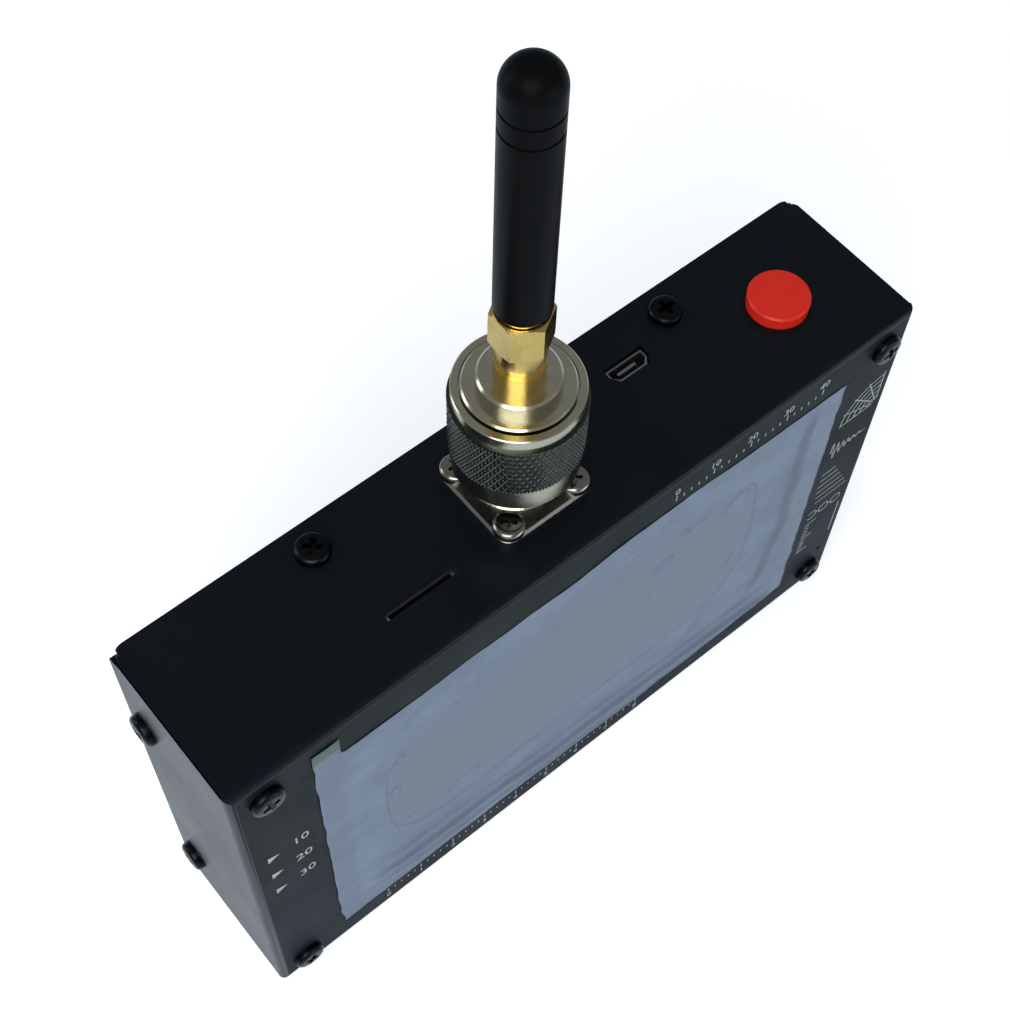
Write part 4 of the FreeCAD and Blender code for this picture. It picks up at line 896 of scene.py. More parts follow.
class ShapeTree(Nodes):
    """A geometry node tree with named sizes."""

    KINDS = {float: "NodeSocketFloat", int: "NodeSocketInt", bpy.types.Material: "NodeSocketMaterial"}

    def __init__(self, name: str, sizes: dict[str, type]) -> None:
        """Starts a tree.

        Args:
            name: Name of the tree.
            sizes: Named inputs and their types.
        """
        super().__init__(bpy.data.node_groups.new(name, "GeometryNodeTree"))
        face = self.tree.interface
        face.new_socket("Geometry", in_out="INPUT", socket_type="NodeSocketGeometry")
        self.sizes = {label: face.new_socket(label, in_out="INPUT", socket_type=self.KINDS[kind]).identifier
                      for label, kind in sizes.items()}
        face.new_socket("Geometry", in_out="OUTPUT", socket_type="NodeSocketGeometry")
        self.source = self.put("NodeGroupInput")
        self.sink = self.put("NodeGroupOutput")

    def size(self, label: str) -> bpy.types.NodeSocket:
        """The socket of a named size."""
        return self.source.outputs[label]

    def choose(self, test: object, yes: object, no: object) -> bpy.types.NodeSocket:
        """One of two numbers, by a test that is 0 or 1."""
        return self.math("ADD", self.times(test, yes), self.times(self.math("SUBTRACT", 1.0, test), no))

    def vector(self, x: object, y: object, z: object) -> bpy.types.NodeSocket:
        """A vector from three numbers or sockets."""
        return self.put("ShaderNodeCombineXYZ", {"X": x, "Y": y, "Z": z}).outputs[0]

    def parts(self) -> tuple[bpy.types.NodeSocket, ...]:
        """The X, Y and Z of each point."""
        place = self.put("GeometryNodeInputPosition").outputs[0]
        return tuple(self.put("ShaderNodeSeparateXYZ", {"Vector": place}).outputs)

    def end(self, geometry: bpy.types.NodeSocket) -> None:
        """Realizes the instances, sets the material named Finish and closes the tree.

        Args:
            geometry: What the tree has built.
        """
        real = self.put("GeometryNodeRealizeInstances", {"Geometry": geometry})
        coat = self.put("GeometryNodeSetMaterial", {"Geometry": real.outputs[0], "Material": self.size("Finish")})
        self.feed(coat.outputs[0], self.sink.inputs[0])

    def grow(self, name: str, points: Sequence[Point], finish: Finish, values: dict[str, float],
             facing: Sequence[Point] = ()) -> bpy.types.Object:
        """Runs the tree on a few points and keeps the plain result.

        Args:
            name: Name of the result.
            points: Where the tree's shapes stand, in millimetres.
            finish: The finish.
            values: The named sizes: a float is a length in millimetres, any other number is taken as it is.
            facing: Which way the shape on each point faces, where the tree reads it.

        Returns:
            The plain object.
        """
        carrier = bpy.data.meshes.new(name + "_seats")
        carrier.from_pydata([[c * MM for c in point] for point in points], [], [])
        if facing:
            layer = carrier.attributes.new("facing", "FLOAT_VECTOR", "POINT")
            for value, way in zip(layer.data, facing):
                value.vector = way
        holder = plain_object(name + "_carrier", carrier)
        run = holder.modifiers.new("grow", "NODES")
        run.node_group = self.tree
        for label, value in values.items():
            run[self.sizes[label]] = value * MM if isinstance(value, float) else value
        run[self.sizes["Finish"]] = finish.material()
        made = settled(holder, name)
        made.data.materials.clear()
        made.data.materials.append(finish.material())
        return made


@dataclass
class ScrewPlace:
    """Where a screw's head stands and which way it faces, in millimetres."""

    seat: Point
    facing: Point


class ScrewMaker:
    """Pan-head cross-recess screws, instanced on points that face outwards."""

    SIDES = 40
    RINGS = 9
    STEM_SIDES = 24
    SHOULDER = 6.0
    RIM_SHARE = 0.44
    NARROWER = 0.5
    THINNER = 0.7
    CREASE = 34.0

    def __init__(self) -> None:
        """Builds the tree once."""
        tree = self.tree = ShapeTree("cross_recess_screw", {
            **dict.fromkeys(("Head Radius", "Head Height", "Shank Radius", "Shank Length", "Recess Reach",
                             "Recess Width", "Recess Depth"), float), "Seed": int, "Finish": bpy.types.Material})
        sized, do, times = tree.size, tree.math, tree.times
        domed = self.dome(tree)
        cut = tree.put("GeometryNodeMeshBoolean", {"Mesh 1": domed}, operation="DIFFERENCE", solver="EXACT")
        for turn in (0.0, math.pi / 2):
            bar = tree.put("GeometryNodeMeshCube", {"Size": tree.vector(
                times(sized("Recess Reach"), 2.0), sized("Recess Width"), times(sized("Recess Depth"), 2.0))})
            x, y, z = tree.parts()
            low = do("LESS_THAN", z, 0.0)
            taper = tree.put("GeometryNodeSetPosition", {
                "Geometry": bar.outputs["Mesh"],
                "Position": tree.vector(times(x, tree.choose(low, self.NARROWER, 1.0)),
                                        times(y, tree.choose(low, self.THINNER, 1.0)), z)})
            placed = tree.put("GeometryNodeTransform", {
                "Geometry": taper.outputs[0], "Rotation": (0.0, 0.0, turn),
                "Translation": tree.vector(0.0, 0.0, sized("Head Height"))})
            tree.feed(placed.outputs[0], cut.inputs["Mesh 2"])
        stem = tree.put("GeometryNodeMeshCylinder", {
            "Vertices": self.STEM_SIDES, "Radius": sized("Shank Radius"), "Depth": sized("Shank Length")})
        sunk = tree.put("GeometryNodeTransform", {
            "Geometry": stem.outputs["Mesh"],
            "Translation": tree.vector(0.0, 0.0, times(sized("Shank Length"), -0.5))})
        whole = tree.put("GeometryNodeJoinGeometry")
        for part in (cut, sunk):
            tree.feed(part.outputs[0], whole.inputs[0])
        facing = tree.put("GeometryNodeInputNamedAttribute", {"Name": "facing"}, data_type="FLOAT_VECTOR")
        upright = tree.put("FunctionNodeAlignRotationToVector", {"Vector": facing.outputs[0]}, axis="Z")
        spin = tree.put("FunctionNodeRandomValue", {"Min": 0.0, "Max": math.pi / 2, "Seed": sized("Seed")},
                        data_type="FLOAT")
        turned = tree.put("FunctionNodeAxisAngleToRotation", {
            "Axis": (0.0, 0.0, 1.0), "Angle": next(s for s in spin.outputs if s.enabled)})
        rotation = tree.put("FunctionNodeRotateRotation", {
            "Rotation": upright.outputs[0], "Rotate By": turned.outputs[0]}, rotation_space="LOCAL")
        placed = tree.put("GeometryNodeInstanceOnPoints", {
            "Points": tree.source.outputs[0], "Instance": whole.outputs[0], "Rotation": rotation.outputs[0]})
        tree.end(placed.outputs[0])

    def dome(self, tree: ShapeTree) -> bpy.types.NodeSocket:
        """Builds the domed head.

        Args:
            tree: The tree it is built in.

        Returns:
            The head's geometry, standing on its seat.
        """
        do, times = tree.math, tree.times
        radius, height = tree.size("Head Radius"), tree.size("Head Height")
        disc = tree.put("GeometryNodeMeshCylinder", {
            "Vertices": self.SIDES, "Side Segments": 1, "Fill Segments": self.RINGS, "Radius": radius,
            "Depth": height}, fill_type="TRIANGLE_FAN")
        x, y, z = tree.parts()
        reach = do("DIVIDE", do("SQRT", do("ADD", times(x, x), times(y, y))), radius)
        spread = do("SINE", times(do("MINIMUM", reach, 1.0), math.pi / 2))
        grow = do("DIVIDE", spread, do("MAXIMUM", reach, 0.0001))
        fall = do("SQRT", do("MAXIMUM", do("SUBTRACT", 1.0, do("POWER", spread, self.SHOULDER)), 0.0))
        crown = times(height, do("MULTIPLY_ADD", fall, 1.0 - self.RIM_SHARE, self.RIM_SHARE))
        return tree.put("GeometryNodeSetPosition", {
            "Geometry": disc.outputs["Mesh"],
            "Position": tree.vector(times(x, grow), times(y, grow),
                                    times(do("GREATER_THAN", z, 0.0), crown))}).outputs[0]

    def make(self, name: str, places: Sequence[ScrewPlace], head: Place, shank: Place, recess: Point,
             seed: int, finish: Finish) -> bpy.types.Object:
        """Makes one group of like screws.

        Args:
            name: Name of the group.
            places: Where the heads stand and which way they face.
            head: Radius and height of the head.
            shank: Radius and length of the shank.
            recess: Reach, width and depth of the cross recess.
            seed: Seed of the turn of each cross.
            finish: The finish.

        Returns:
            The plain object of all screws.
        """
        made = self.tree.grow(name, [place.seat for place in places], finish, {
            **dict(zip(("Head Radius", "Head Height"), head)),
            **dict(zip(("Shank Radius", "Shank Length"), shank)),
            **dict(zip(("Recess Reach", "Recess Width", "Recess Depth"), recess)), "Seed": seed},
            [place.facing for place in places])
        smooth(made.data, self.CREASE)
        return evened(made)


class RidgeMaker:
    """Ridged sleeves round the jack's axis: crossed ridges make a knurl, climbing ones a thread."""

    SUNK = 0.1

    def __init__(self) -> None:
        """Builds the tree once."""
        tree = self.tree = ShapeTree("ridged_sleeve", {
            **dict.fromkeys(("Root", "Valley", "Crest", "Row Height", "Lead", "Length"), float),
            **dict.fromkeys(("Columns", "Rows", "Crossed", "Period", "Rim"), int),
            "Finish": bpy.types.Material})
        sized, do, times = tree.size, tree.math, tree.times
        columns, rows = sized("Columns"), sized("Rows")
        sheet = tree.put("GeometryNodeMeshGrid", {
            "Size X": columns, "Size Y": rows, "Vertices X": do("ADD", columns, 1.0),
            "Vertices Y": do("ADD", rows, 1.0)})
        x, y, _ = tree.parts()
        column, row = (do("ROUND", do("ADD", place, times(count, 0.5)))
                       for place, count in ((x, columns), (y, rows)))
        across = times(column, sized("Crossed"))
        off_one, off_other = (do("GREATER_THAN", do("FLOORED_MODULO", do(way, row, across), sized("Period")), 0.5)
                              for way in ("ADD", "SUBTRACT"))
        radius = tree.choose(times(off_one, off_other), sized("Valley"), sized("Crest"))
        top = do("GREATER_THAN", row, do("SUBTRACT", rows, 1.5))
        radius = tree.choose(times(top, sized("Rim")), sized("Crest"), radius)
        ends = do("MAXIMUM", do("LESS_THAN", row, 0.5), do("GREATER_THAN", row, do("SUBTRACT", rows, 0.5)))
        radius = tree.choose(ends, sized("Root"), radius)
        share = do("DIVIDE", column, columns)
        angle = times(share, 2 * math.pi)
        climb = times(do("SUBTRACT", share, 1.0), sized("Lead"))
        rise = do("MULTIPLY_ADD", do("SUBTRACT", row, 1.0), sized("Row Height"), climb)
        rise = do("MINIMUM", do("MAXIMUM", rise, 0.0), sized("Length"))
        wrapped = tree.put("GeometryNodeSetPosition", {
            "Geometry": sheet.outputs["Mesh"],
            "Position": tree.vector(times(radius, do("COSINE", angle)), times(radius, do("SINE", angle)), rise)})
        closed = tree.put("GeometryNodeMergeByDistance", {"Geometry": wrapped.outputs[0], "Distance": SPECK})
        split = tree.put("GeometryNodeTriangulate", {"Mesh": closed.outputs[0]})
        at = tree.put("GeometryNodeInstanceOnPoints", {
            "Points": tree.source.outputs[0], "Instance": split.outputs[0]})
        tree.end(at.outputs[0])

    def make(self, name: str, ridges: Ridges, span: Place, radii: Point, steps: tuple[int, int],
             lead: float, finish: Finish) -> bpy.types.Object:
        """Makes one sleeve.

        Args:
            name: Name of the sleeve.
            ridges: What its ridges do.
            span: Heights of its ends above the case.
            radii: Radius of the core it is sunk into, of the grooves and of the crests.
            steps: Steps round it, and steps up it with its two closing rows.
            lead: Rise of a ridge in one turn.
            finish: The finish.

        Returns:
            The plain object.
        """
        length = span[1] - span[0]
        crossed, period, rim = ridges.value
        made = self.tree.grow(name, [(*AXIS, TOP + span[0])], finish, {
            "Root": radii[0] - self.SUNK, "Valley": radii[1], "Crest": radii[2],
            "Columns": steps[0], "Rows": steps[1],
            "Row Height": length / (steps[1] - 2) if crossed else lead / 2, "Lead": lead, "Length": length,
            "Crossed": crossed, "Period": period, "Rim": rim})
        shaped = opened([made.data])
        bmesh.ops.remove_doubles(shaped, verts=shaped.verts, dist=SPECK)
        bmesh.ops.dissolve_degenerate(shaped, edges=shaped.edges, dist=0.1 * SPECK)
        middle = Vector((*AXIS, 0.0)) * MM
        outward = sum(face.normal.dot((face.calc_center_median() - middle) * Vector((1, 1, 0)))
                      for face in shaped.faces)
        if outward < 0:
            bmesh.ops.reverse_faces(shaped, faces=shaped.faces)
        kept(shaped, made.data)
        return made

    def thread(self, name: str, span: Place, root: float, crest: float, lead: float, columns: int,
               finish: Finish) -> bpy.types.Object:
        """Makes one thread.

        Args:
            name: Name of the thread.
            span: Heights of its ends above the case.
            root: Radius at the bottom of its grooves.
            crest: Radius of its crests.
            lead: Its rise in one turn.
            columns: Steps round it.
            finish: The finish.

        Returns:
            The plain object.
        """
        rows = 2 * math.ceil((span[1] - span[0]) / lead) + 4
        return self.make(name, Ridges.THREAD, span, (root, root, crest), (columns, rows), lead, finish)


class TickMaker:
    """Printed scale marks: thin plates in a row, every fifth of them longer."""

    EVERY = 5

    def __init__(self) -> None:
        """Builds the tree once."""
        tree = self.tree = ShapeTree("tick_scale", {
            **dict.fromkeys(("Spacing", "Long", "Short", "Width", "Depth"), float),
            **dict.fromkeys(("Count", "Every", "Upright"), int), "Finish": bpy.types.Material})
        sized, do, times = tree.size, tree.math, tree.times
        upright = sized("Upright")
        flat = do("SUBTRACT", 1.0, upright)
        step = tree.vector(times(flat, sized("Spacing")), 0.0, times(upright, sized("Spacing")))
        row = tree.put("GeometryNodeMeshLine", {"Count": sized("Count"), "Offset": step}, mode="OFFSET")
        carried = tree.put("GeometryNodeInstanceOnPoints", {
            "Points": tree.source.outputs[0], "Instance": row.outputs[0]})
        real = tree.put("GeometryNodeRealizeInstances", {"Geometry": carried.outputs[0]})
        index = tree.put("GeometryNodeInputIndex").outputs[0]
        every = do("LESS_THAN", do("FLOORED_MODULO", index, sized("Every")), 0.5)
        length = tree.choose(every, sized("Long"), sized("Short"))
        bar = tree.put("GeometryNodeMeshCube", {"Size": (1.0, 1.0, 1.0)})
        shift = tree.put("GeometryNodeTransform", {
            "Geometry": bar.outputs["Mesh"], "Translation": tree.vector(times(upright, 0.5), 0.0, times(flat, 0.5))})
        size = tree.vector(tree.choose(upright, length, sized("Width")), sized("Depth"),
                           tree.choose(upright, sized("Width"), length))
        placed = tree.put("GeometryNodeInstanceOnPoints", {
            "Points": real.outputs[0], "Instance": shift.outputs[0], "Scale": size})
        tree.end(placed.outputs[0])

    def make(self, start: Point, count: int, spacing: float, marks: Place, width: float, depth: float,
             upright: int = 0) -> bpy.types.Mesh:
        """Makes one scale.

        Args:
            start: Where its first mark starts.
            count: How many marks it has.
            spacing: Distance from mark to mark.
            marks: Length of a long mark and of a short one.
            width: Width of a mark.
            depth: Thickness of the print.
            upright: 1 where the marks follow each other up the panel, 0 where they go across it.

        Returns:
            The mesh, in place.
        """
        made = self.tree.grow("scale", [start], PRINT, {
            **dict(zip(("Long", "Short"), marks)), "Count": count, "Every": self.EVERY, "Spacing": spacing,
            "Width": width, "Depth": depth, "Upright": upright})
        mesh = made.data
        bpy.data.objects.remove(made)
        return mesh


# Sub-assemblies

def restyled(node: str, name: str, body: Body, slot: str, finish: Finish, angle: float = 30.0,
             reshape: Callable[[bmesh.types.BMesh], None] | None = None) -> None:
    """Lets a smooth-shaded copy stand in for a CAD node.

    Args:
        node: The CAD node.
        name: Name of the copy.
        body: The body it moves with.
        slot: The record's material slot.
        finish: The finish of all its faces.
        angle: Edges turning by more than this many degrees stay creased.
        reshape: Changes to the copy's points before it is shaded.
    """
    stand_in(refined(node, name, angle, reshape), body, slot, finish, node)


def slimmed(low: float, crest: float, slack: float, core: float) -> Callable[[bmesh.types.BMesh], None]:
    """Turns the plain barrel of a CAD copy down, to make room for its ridges.

    Args:
        low: Only points higher than this above the case move.
        crest: Radius of the barrel.
        slack: Only points nearer than this to that radius move.
        core: The radius they move to.

    Returns:
        The change that refined makes.
    """
    def change(made: bmesh.types.BMesh) -> None:
        """Moves the points.

        Args:
            made: The copy.
        """
        for vert in made.verts:
            across = Vector((vert.co.x / MM - AXIS[0], vert.co.y / MM - AXIS[1]))
            if vert.co.z / MM - TOP > low and abs(across.length - crest) < slack:
                across *= core / across.length
                vert.co.x, vert.co.y = (AXIS[0] + across.x) * MM, (AXIS[1] + across.y) * MM

    return change


class Case:
    """The folded front shell and the back cover."""

    FLATNESS = 0.97
    TOLERANCE = 0.02

    def make(self) -> None:
        """Dresses both sheets, the panel in its own coat."""
        shell = refined("front_shell", "case_shell")
        shell.data.materials.clear()
        for finish in (BLACK_SHEET, PANEL):
            shell.data.materials.append(finish.material())
        for face in shell.data.polygons:
            on_panel = face.normal.y < -self.FLATNESS and face.center.y < (FRONT + self.TOLERANCE) * MM
            face.material_index = 1 if on_panel else 0
        stand_in(shell, Body.CASE, "black_sheet", None, "front_shell")
        restyled("back_cover", "case_back", Body.CASE, "black_sheet", BLACK_SHEET)


@dataclass
class CaseScrews:
    """The pan-head screws of the panel, the top wall and the side walls."""

    maker: ScrewMaker
    head: Place = (2.85, 1.55)
    shank_radius: float = 1.5
    long_shank: float = 14.0
    short_shank: float = 5.0
    recess: Point = (2.0, 1.0, 1.15)
    panel_x: float = 62.2
    panel_z: Place = (6.0, 82.5)
    top_x: float = 35.2
    back_line: float = 9.9
    side: float = 68.0
    side_z: Place = (13.4, 70.4)

    def make(self) -> None:
        """Makes the three groups."""
        panel = [ScrewPlace((x, FRONT, z), (0, -1, 0)) for x in (-self.panel_x, self.panel_x) for z in self.panel_z]
        lid = [ScrewPlace((x, self.back_line, TOP), (0, 0, 1)) for x in (-self.top_x, self.top_x)]
        walls = [ScrewPlace((way * self.side, self.back_line, z), (way, 0, 0))
                 for way in (-1, 1) for z in self.side_z]
        for name, node, length, seed, places in (
                ("panel_screws", "front_screws", self.long_shank, 4, panel),
                ("lid_screws", "top_screws", self.short_shank, 9, lid),
                ("wall_screws", "side_screws", self.short_shank, 2, walls)):
            made = self.maker.make(name, places, self.head, (self.shank_radius, length), self.recess, seed,
                                   BLACK_SCREW)
            stand_in(made, Body.CASE, "black_screw", None, node)


@dataclass
class ScreenFilm:
    """The protective film: a loose border with ridges, a clinging middle, bubbles and a pull tab."""

    left: float = -54.2
    right: float = 54.2
    low: float = 8.0
    high: float = 79.6
    tab_right: float = -49.1
    tab_high: float = 84.8
    face: float = -15.03
    gauge: float = 0.03
    opening_half: float = 55.0
    opening_low: float = 10.75
    opening_high: float = 77.75
    overlap: float = 1.4
    overlay: float = 0.02
    step: float = 0.7
    near: float = 0.01
    per_side: int = 8
    middle: tuple[Place, ...] = (
        (-42.3, 52.8), (-42.2, 44.0), (-40.9, 34.6), (-36.0, 29.4), (-26.4, 26.9), (-5.6, 27.6), (12.0, 27.2),
        (24.0, 27.4), (33.0, 30.2), (37.4, 39.0), (38.0, 49.0), (37.0, 62.0), (35.4, 67.2), (31.5, 69.0),
        (20.7, 70.4), (8.0, 72.2), (-2.9, 73.2), (-14.0, 71.4), (-24.8, 68.3), (-37.1, 64.6), (-41.2, 59.6))
    bubbles: tuple[tuple[float, float, float, float, float], ...] = (
        (-26.4, 32.9, 3.6, 1.5, 12.0), (32.3, 64.2, 2.9, 2.0, 40.0), (16.0, 60.9, 2.4, 1.3, 20.0),
        (-26.0, 67.7, 2.3, 1.2, 5.0), (22.7, 66.7, 1.9, 0.9, 15.0), (19.9, 67.6, 0.9, 0.6, 0.0),
        (-39.2, 61.3, 1.3, 0.9, 60.0), (-40.6, 49.6, 0.9, 1.9, 10.0), (-37.6, 34.4, 1.1, 0.6, 30.0),
        (-29.6, 68.3, 0.9, 0.5, 20.0), (34.2, 41.5, 1.5, 0.4, 60.0), (14.0, 52.0, 0.5, 0.4, 0.0),
        (-12.0, 45.0, 0.45, 0.35, 0.0), (3.0, 57.5, 0.4, 0.4, 0.0))

    def smooth_outline(self) -> list[Place]:
        """Rounds the outline of the clinging middle.

        Returns:
            Points (x, z) of the closed line.
        """
        line: list[Place] = []
        count = len(self.middle)
        for k in range(count):
            a, b, c, d = (Vector(self.middle[(k + n) % count]) for n in (-1, 0, 1, 2))
            for i in range(self.per_side):
                t = i / self.per_side
                point = 0.5 * ((2 * b) + (c - a) * t + (2 * a - 5 * b + 4 * c - d) * t * t
                               + (3 * b - a - 3 * c + d) * t ** 3)
                line.append((point.x, point.y))
        return line

    @staticmethod
    def distance(x: float, z: float, line: Sequence[Place]) -> float:
        """Distance to a closed line, positive inside it.

        Args:
            x: Place across.
            z: Place up.
            line: The closed line.

        Returns:
            The signed distance in millimetres.
        """
        nearest, inside = 1e9, False
        for (ax, az), (bx, bz) in zip(line, line[1:] + line[:1]):
            run_x, run_z = bx - ax, bz - az
            span = max(run_x * run_x + run_z * run_z, 1e-12)
            t = min(1.0, max(0.0, ((x - ax) * run_x + (z - az) * run_z) / span))
            nearest = min(nearest, math.hypot(x - ax - t * run_x, z - az - t * run_z))
            if (az > z) != (bz > z) and x < ax + (z - az) / (bz - az) * run_x:
                inside = not inside
        return nearest if inside else -nearest

    def cling(self, x: float, z: float, line: Sequence[Place]) -> float:
        """How far a point is inside the clinging part, less the bubbles.

        Args:
            x: Place across.
            z: Place up.
            line: Outline of the clinging part.

        Returns:
            The signed distance in millimetres.
        """
        value = self.distance(x, z, line)
        for bx, bz, wide, tall, turn in self.bubbles:
            c, s = math.cos(math.radians(turn)), math.sin(math.radians(turn))
            u, v = (x - bx) * c + (z - bz) * s, (z - bz) * c - (x - bx) * s
            value = min(value, (math.hypot(u / wide, v / tall) - 1.0) * min(wide, tall))
        return value

    def strip(self, x: float, z: float, steep: float) -> float:
        """How far a point belongs to the pull strip on the left, from 0 to 1."""
        return falling((x - (-49.7 + 0.5 * ripple(z * 0.16, 1.3))) * steep)

    def lift(self, x: float, z: float, cling: float) -> float:
        """How far the film stands off the glass, in millimetres.

        Args:
            x: Place across.
            z: Place up.
            cling: Signed distance into the clinging part.

        Returns:
            The height in front of the film's seat.
        """
        waver = 0.9 * ripple(x * 0.07, z * 0.07, 3.1)
        drop = 21.6 - 0.075 * (x + 36.0) + waver
        fade = eased(x, -49.0, -40.0) * eased(x, 53.0, 47.0)
        height = 0.0
        for centre, width, tall in ((drop, 1.3, 0.34), (drop - 4.9 + 0.4 * waver, 1.9, 0.62),
                                    (drop - 9.4, 1.4, 0.34)):
            height += tall * fade * bell(z - centre, width)
        bend = 47.3 - 0.004 * (z - 50.0) ** 2 * (z < 50.0) + 0.8 * ripple(z * 0.11, 7.7)
        height += 0.5 * eased(z, 14.0, 24.0) * eased(z, 79.0, 73.0) * bell(x - bend, 1.9)
        height += 0.09 * self.strip(x, z, 7.0)
        loose = falling(cling * 5.0)
        height += loose * (0.02 + 0.09 * (0.5 + ripple(x * 0.12, z * 0.17, 0.4)))
        creases = abs(ripple(x * 0.22 + 0.1 * z, z * 0.2 - 0.1 * x, 5.0))
        height += loose * 0.05 * math.exp(-creases * 9.0)
        return max(0.0, height)

    def pulled(self, x: float, z: float) -> Place:
        """Where a point of the flat sheet lies once the sheet's edges are uneven.

        Args:
            x: Place across in the flat sheet.
            z: Place up in the flat sheet.

        Returns:
            The place across and up.
        """
        beside_tab = x > self.tab_right + self.near
        if beside_tab:
            z = min(z, self.high + self.near)
        near_left = math.exp(-(x - self.left) / 2.2)
        near_right = math.exp(-(self.right - x) / 2.2)
        near_low = math.exp(-(z - self.low) / 2.0)
        near_high = math.exp(-max(0.0, self.high - z) / 2.0) * beside_tab
        out_x = near_left * (0.35 * ripple(z * 0.21) + 0.9 * max(0.0, (14.0 - z) / 7.0))
        out_x += near_right * 0.4 * ripple(z * 0.25, 4.0)
        out_z = near_low * (0.5 * ripple(x * 0.12, 9.0) + 0.009 * max(0.0, 30.0 - abs(x - 2.0)))
        out_z += near_high * (0.5 * ripple(x * 0.1, 12.0) + 1.2 * bell(x - 14.0, 15.0) - 0.5)
        return x + out_x, z + out_z

    def border(self) -> None:
        """Covers the edge of the opening with the panel's thin overlay, as a frame under the film."""
        outer, inner = ([(-half, low), (half, low), (half, high), (-half, high)] for half, low, high in (
            (self.opening_half + grow, self.opening_low - grow, self.opening_high + grow)
            for grow in (self.overlap, -self.overlap)))
        face = FRONT - self.overlay
        mesh = hoop("panel_overlay", (outer, face), (inner, face), (inner, FRONT), (outer, FRONT))
        stand_in(plain_object("panel_overlay", mesh), Body.CASE, "black_sheet", PANEL)

    def make(self) -> None:
        """Makes the overlay, and the film as one thin closed sheet."""
        self.border()
        line = self.smooth_outline()
        wide, tall = self.right - self.left, self.tab_high - self.low
        columns, rows = round(wide / self.step), round(tall / self.step)
        made = bmesh.new()
        # The stand layer keeps the lift, which the film's finish darkens as painted shade.
        layers = [made.verts.layers.float.new(name) for name in ("cling", "strip", "stand")]
        grid: dict[tuple[int, int], bmesh.types.BMVert] = {}

        def point(i: int, j: int) -> bmesh.types.BMVert:
            """The grid's point, made when it is first used.

            Args:
                i: Its column.
                j: Its row.

            Returns:
                The point.
            """
            if (i, j) not in grid:
                x, z = self.pulled(self.left + wide * i / columns, self.low + tall * j / rows)
                cling = self.cling(x, z, line)
                lift = self.lift(x, z, cling)
                vert = made.verts.new((x * MM, (self.face - lift) * MM, z * MM))
                for layer, value in zip(layers, (cling, self.strip(x, z, 9.0), lift)):
                    vert[layer] = value
                grid[i, j] = vert
            return grid[i, j]

        for i in range(columns):
            x = self.left + wide * (i + 0.5) / columns
            for j in range(rows):
                z = self.low + tall * (j + 0.5) / rows
                if z <= self.high or x <= self.tab_right:
                    corners = [point(i, j), point(i + 1, j), point(i + 1, j + 1), point(i, j + 1)]
                    made.faces.new(corners).smooth = True
        bmesh.ops.dissolve_degenerate(made, edges=made.edges, dist=10 * SPECK)
        film = plain_object("film_raw", kept(made, bpy.data.meshes.new("film")))
        wall = film.modifiers.new("gauge", "SOLIDIFY")
        wall.thickness = self.gauge * MM
        wall.offset = -1.0
        stand_in(settled(film, "film"), Body.CASE, "film", FILM, "screen_film")


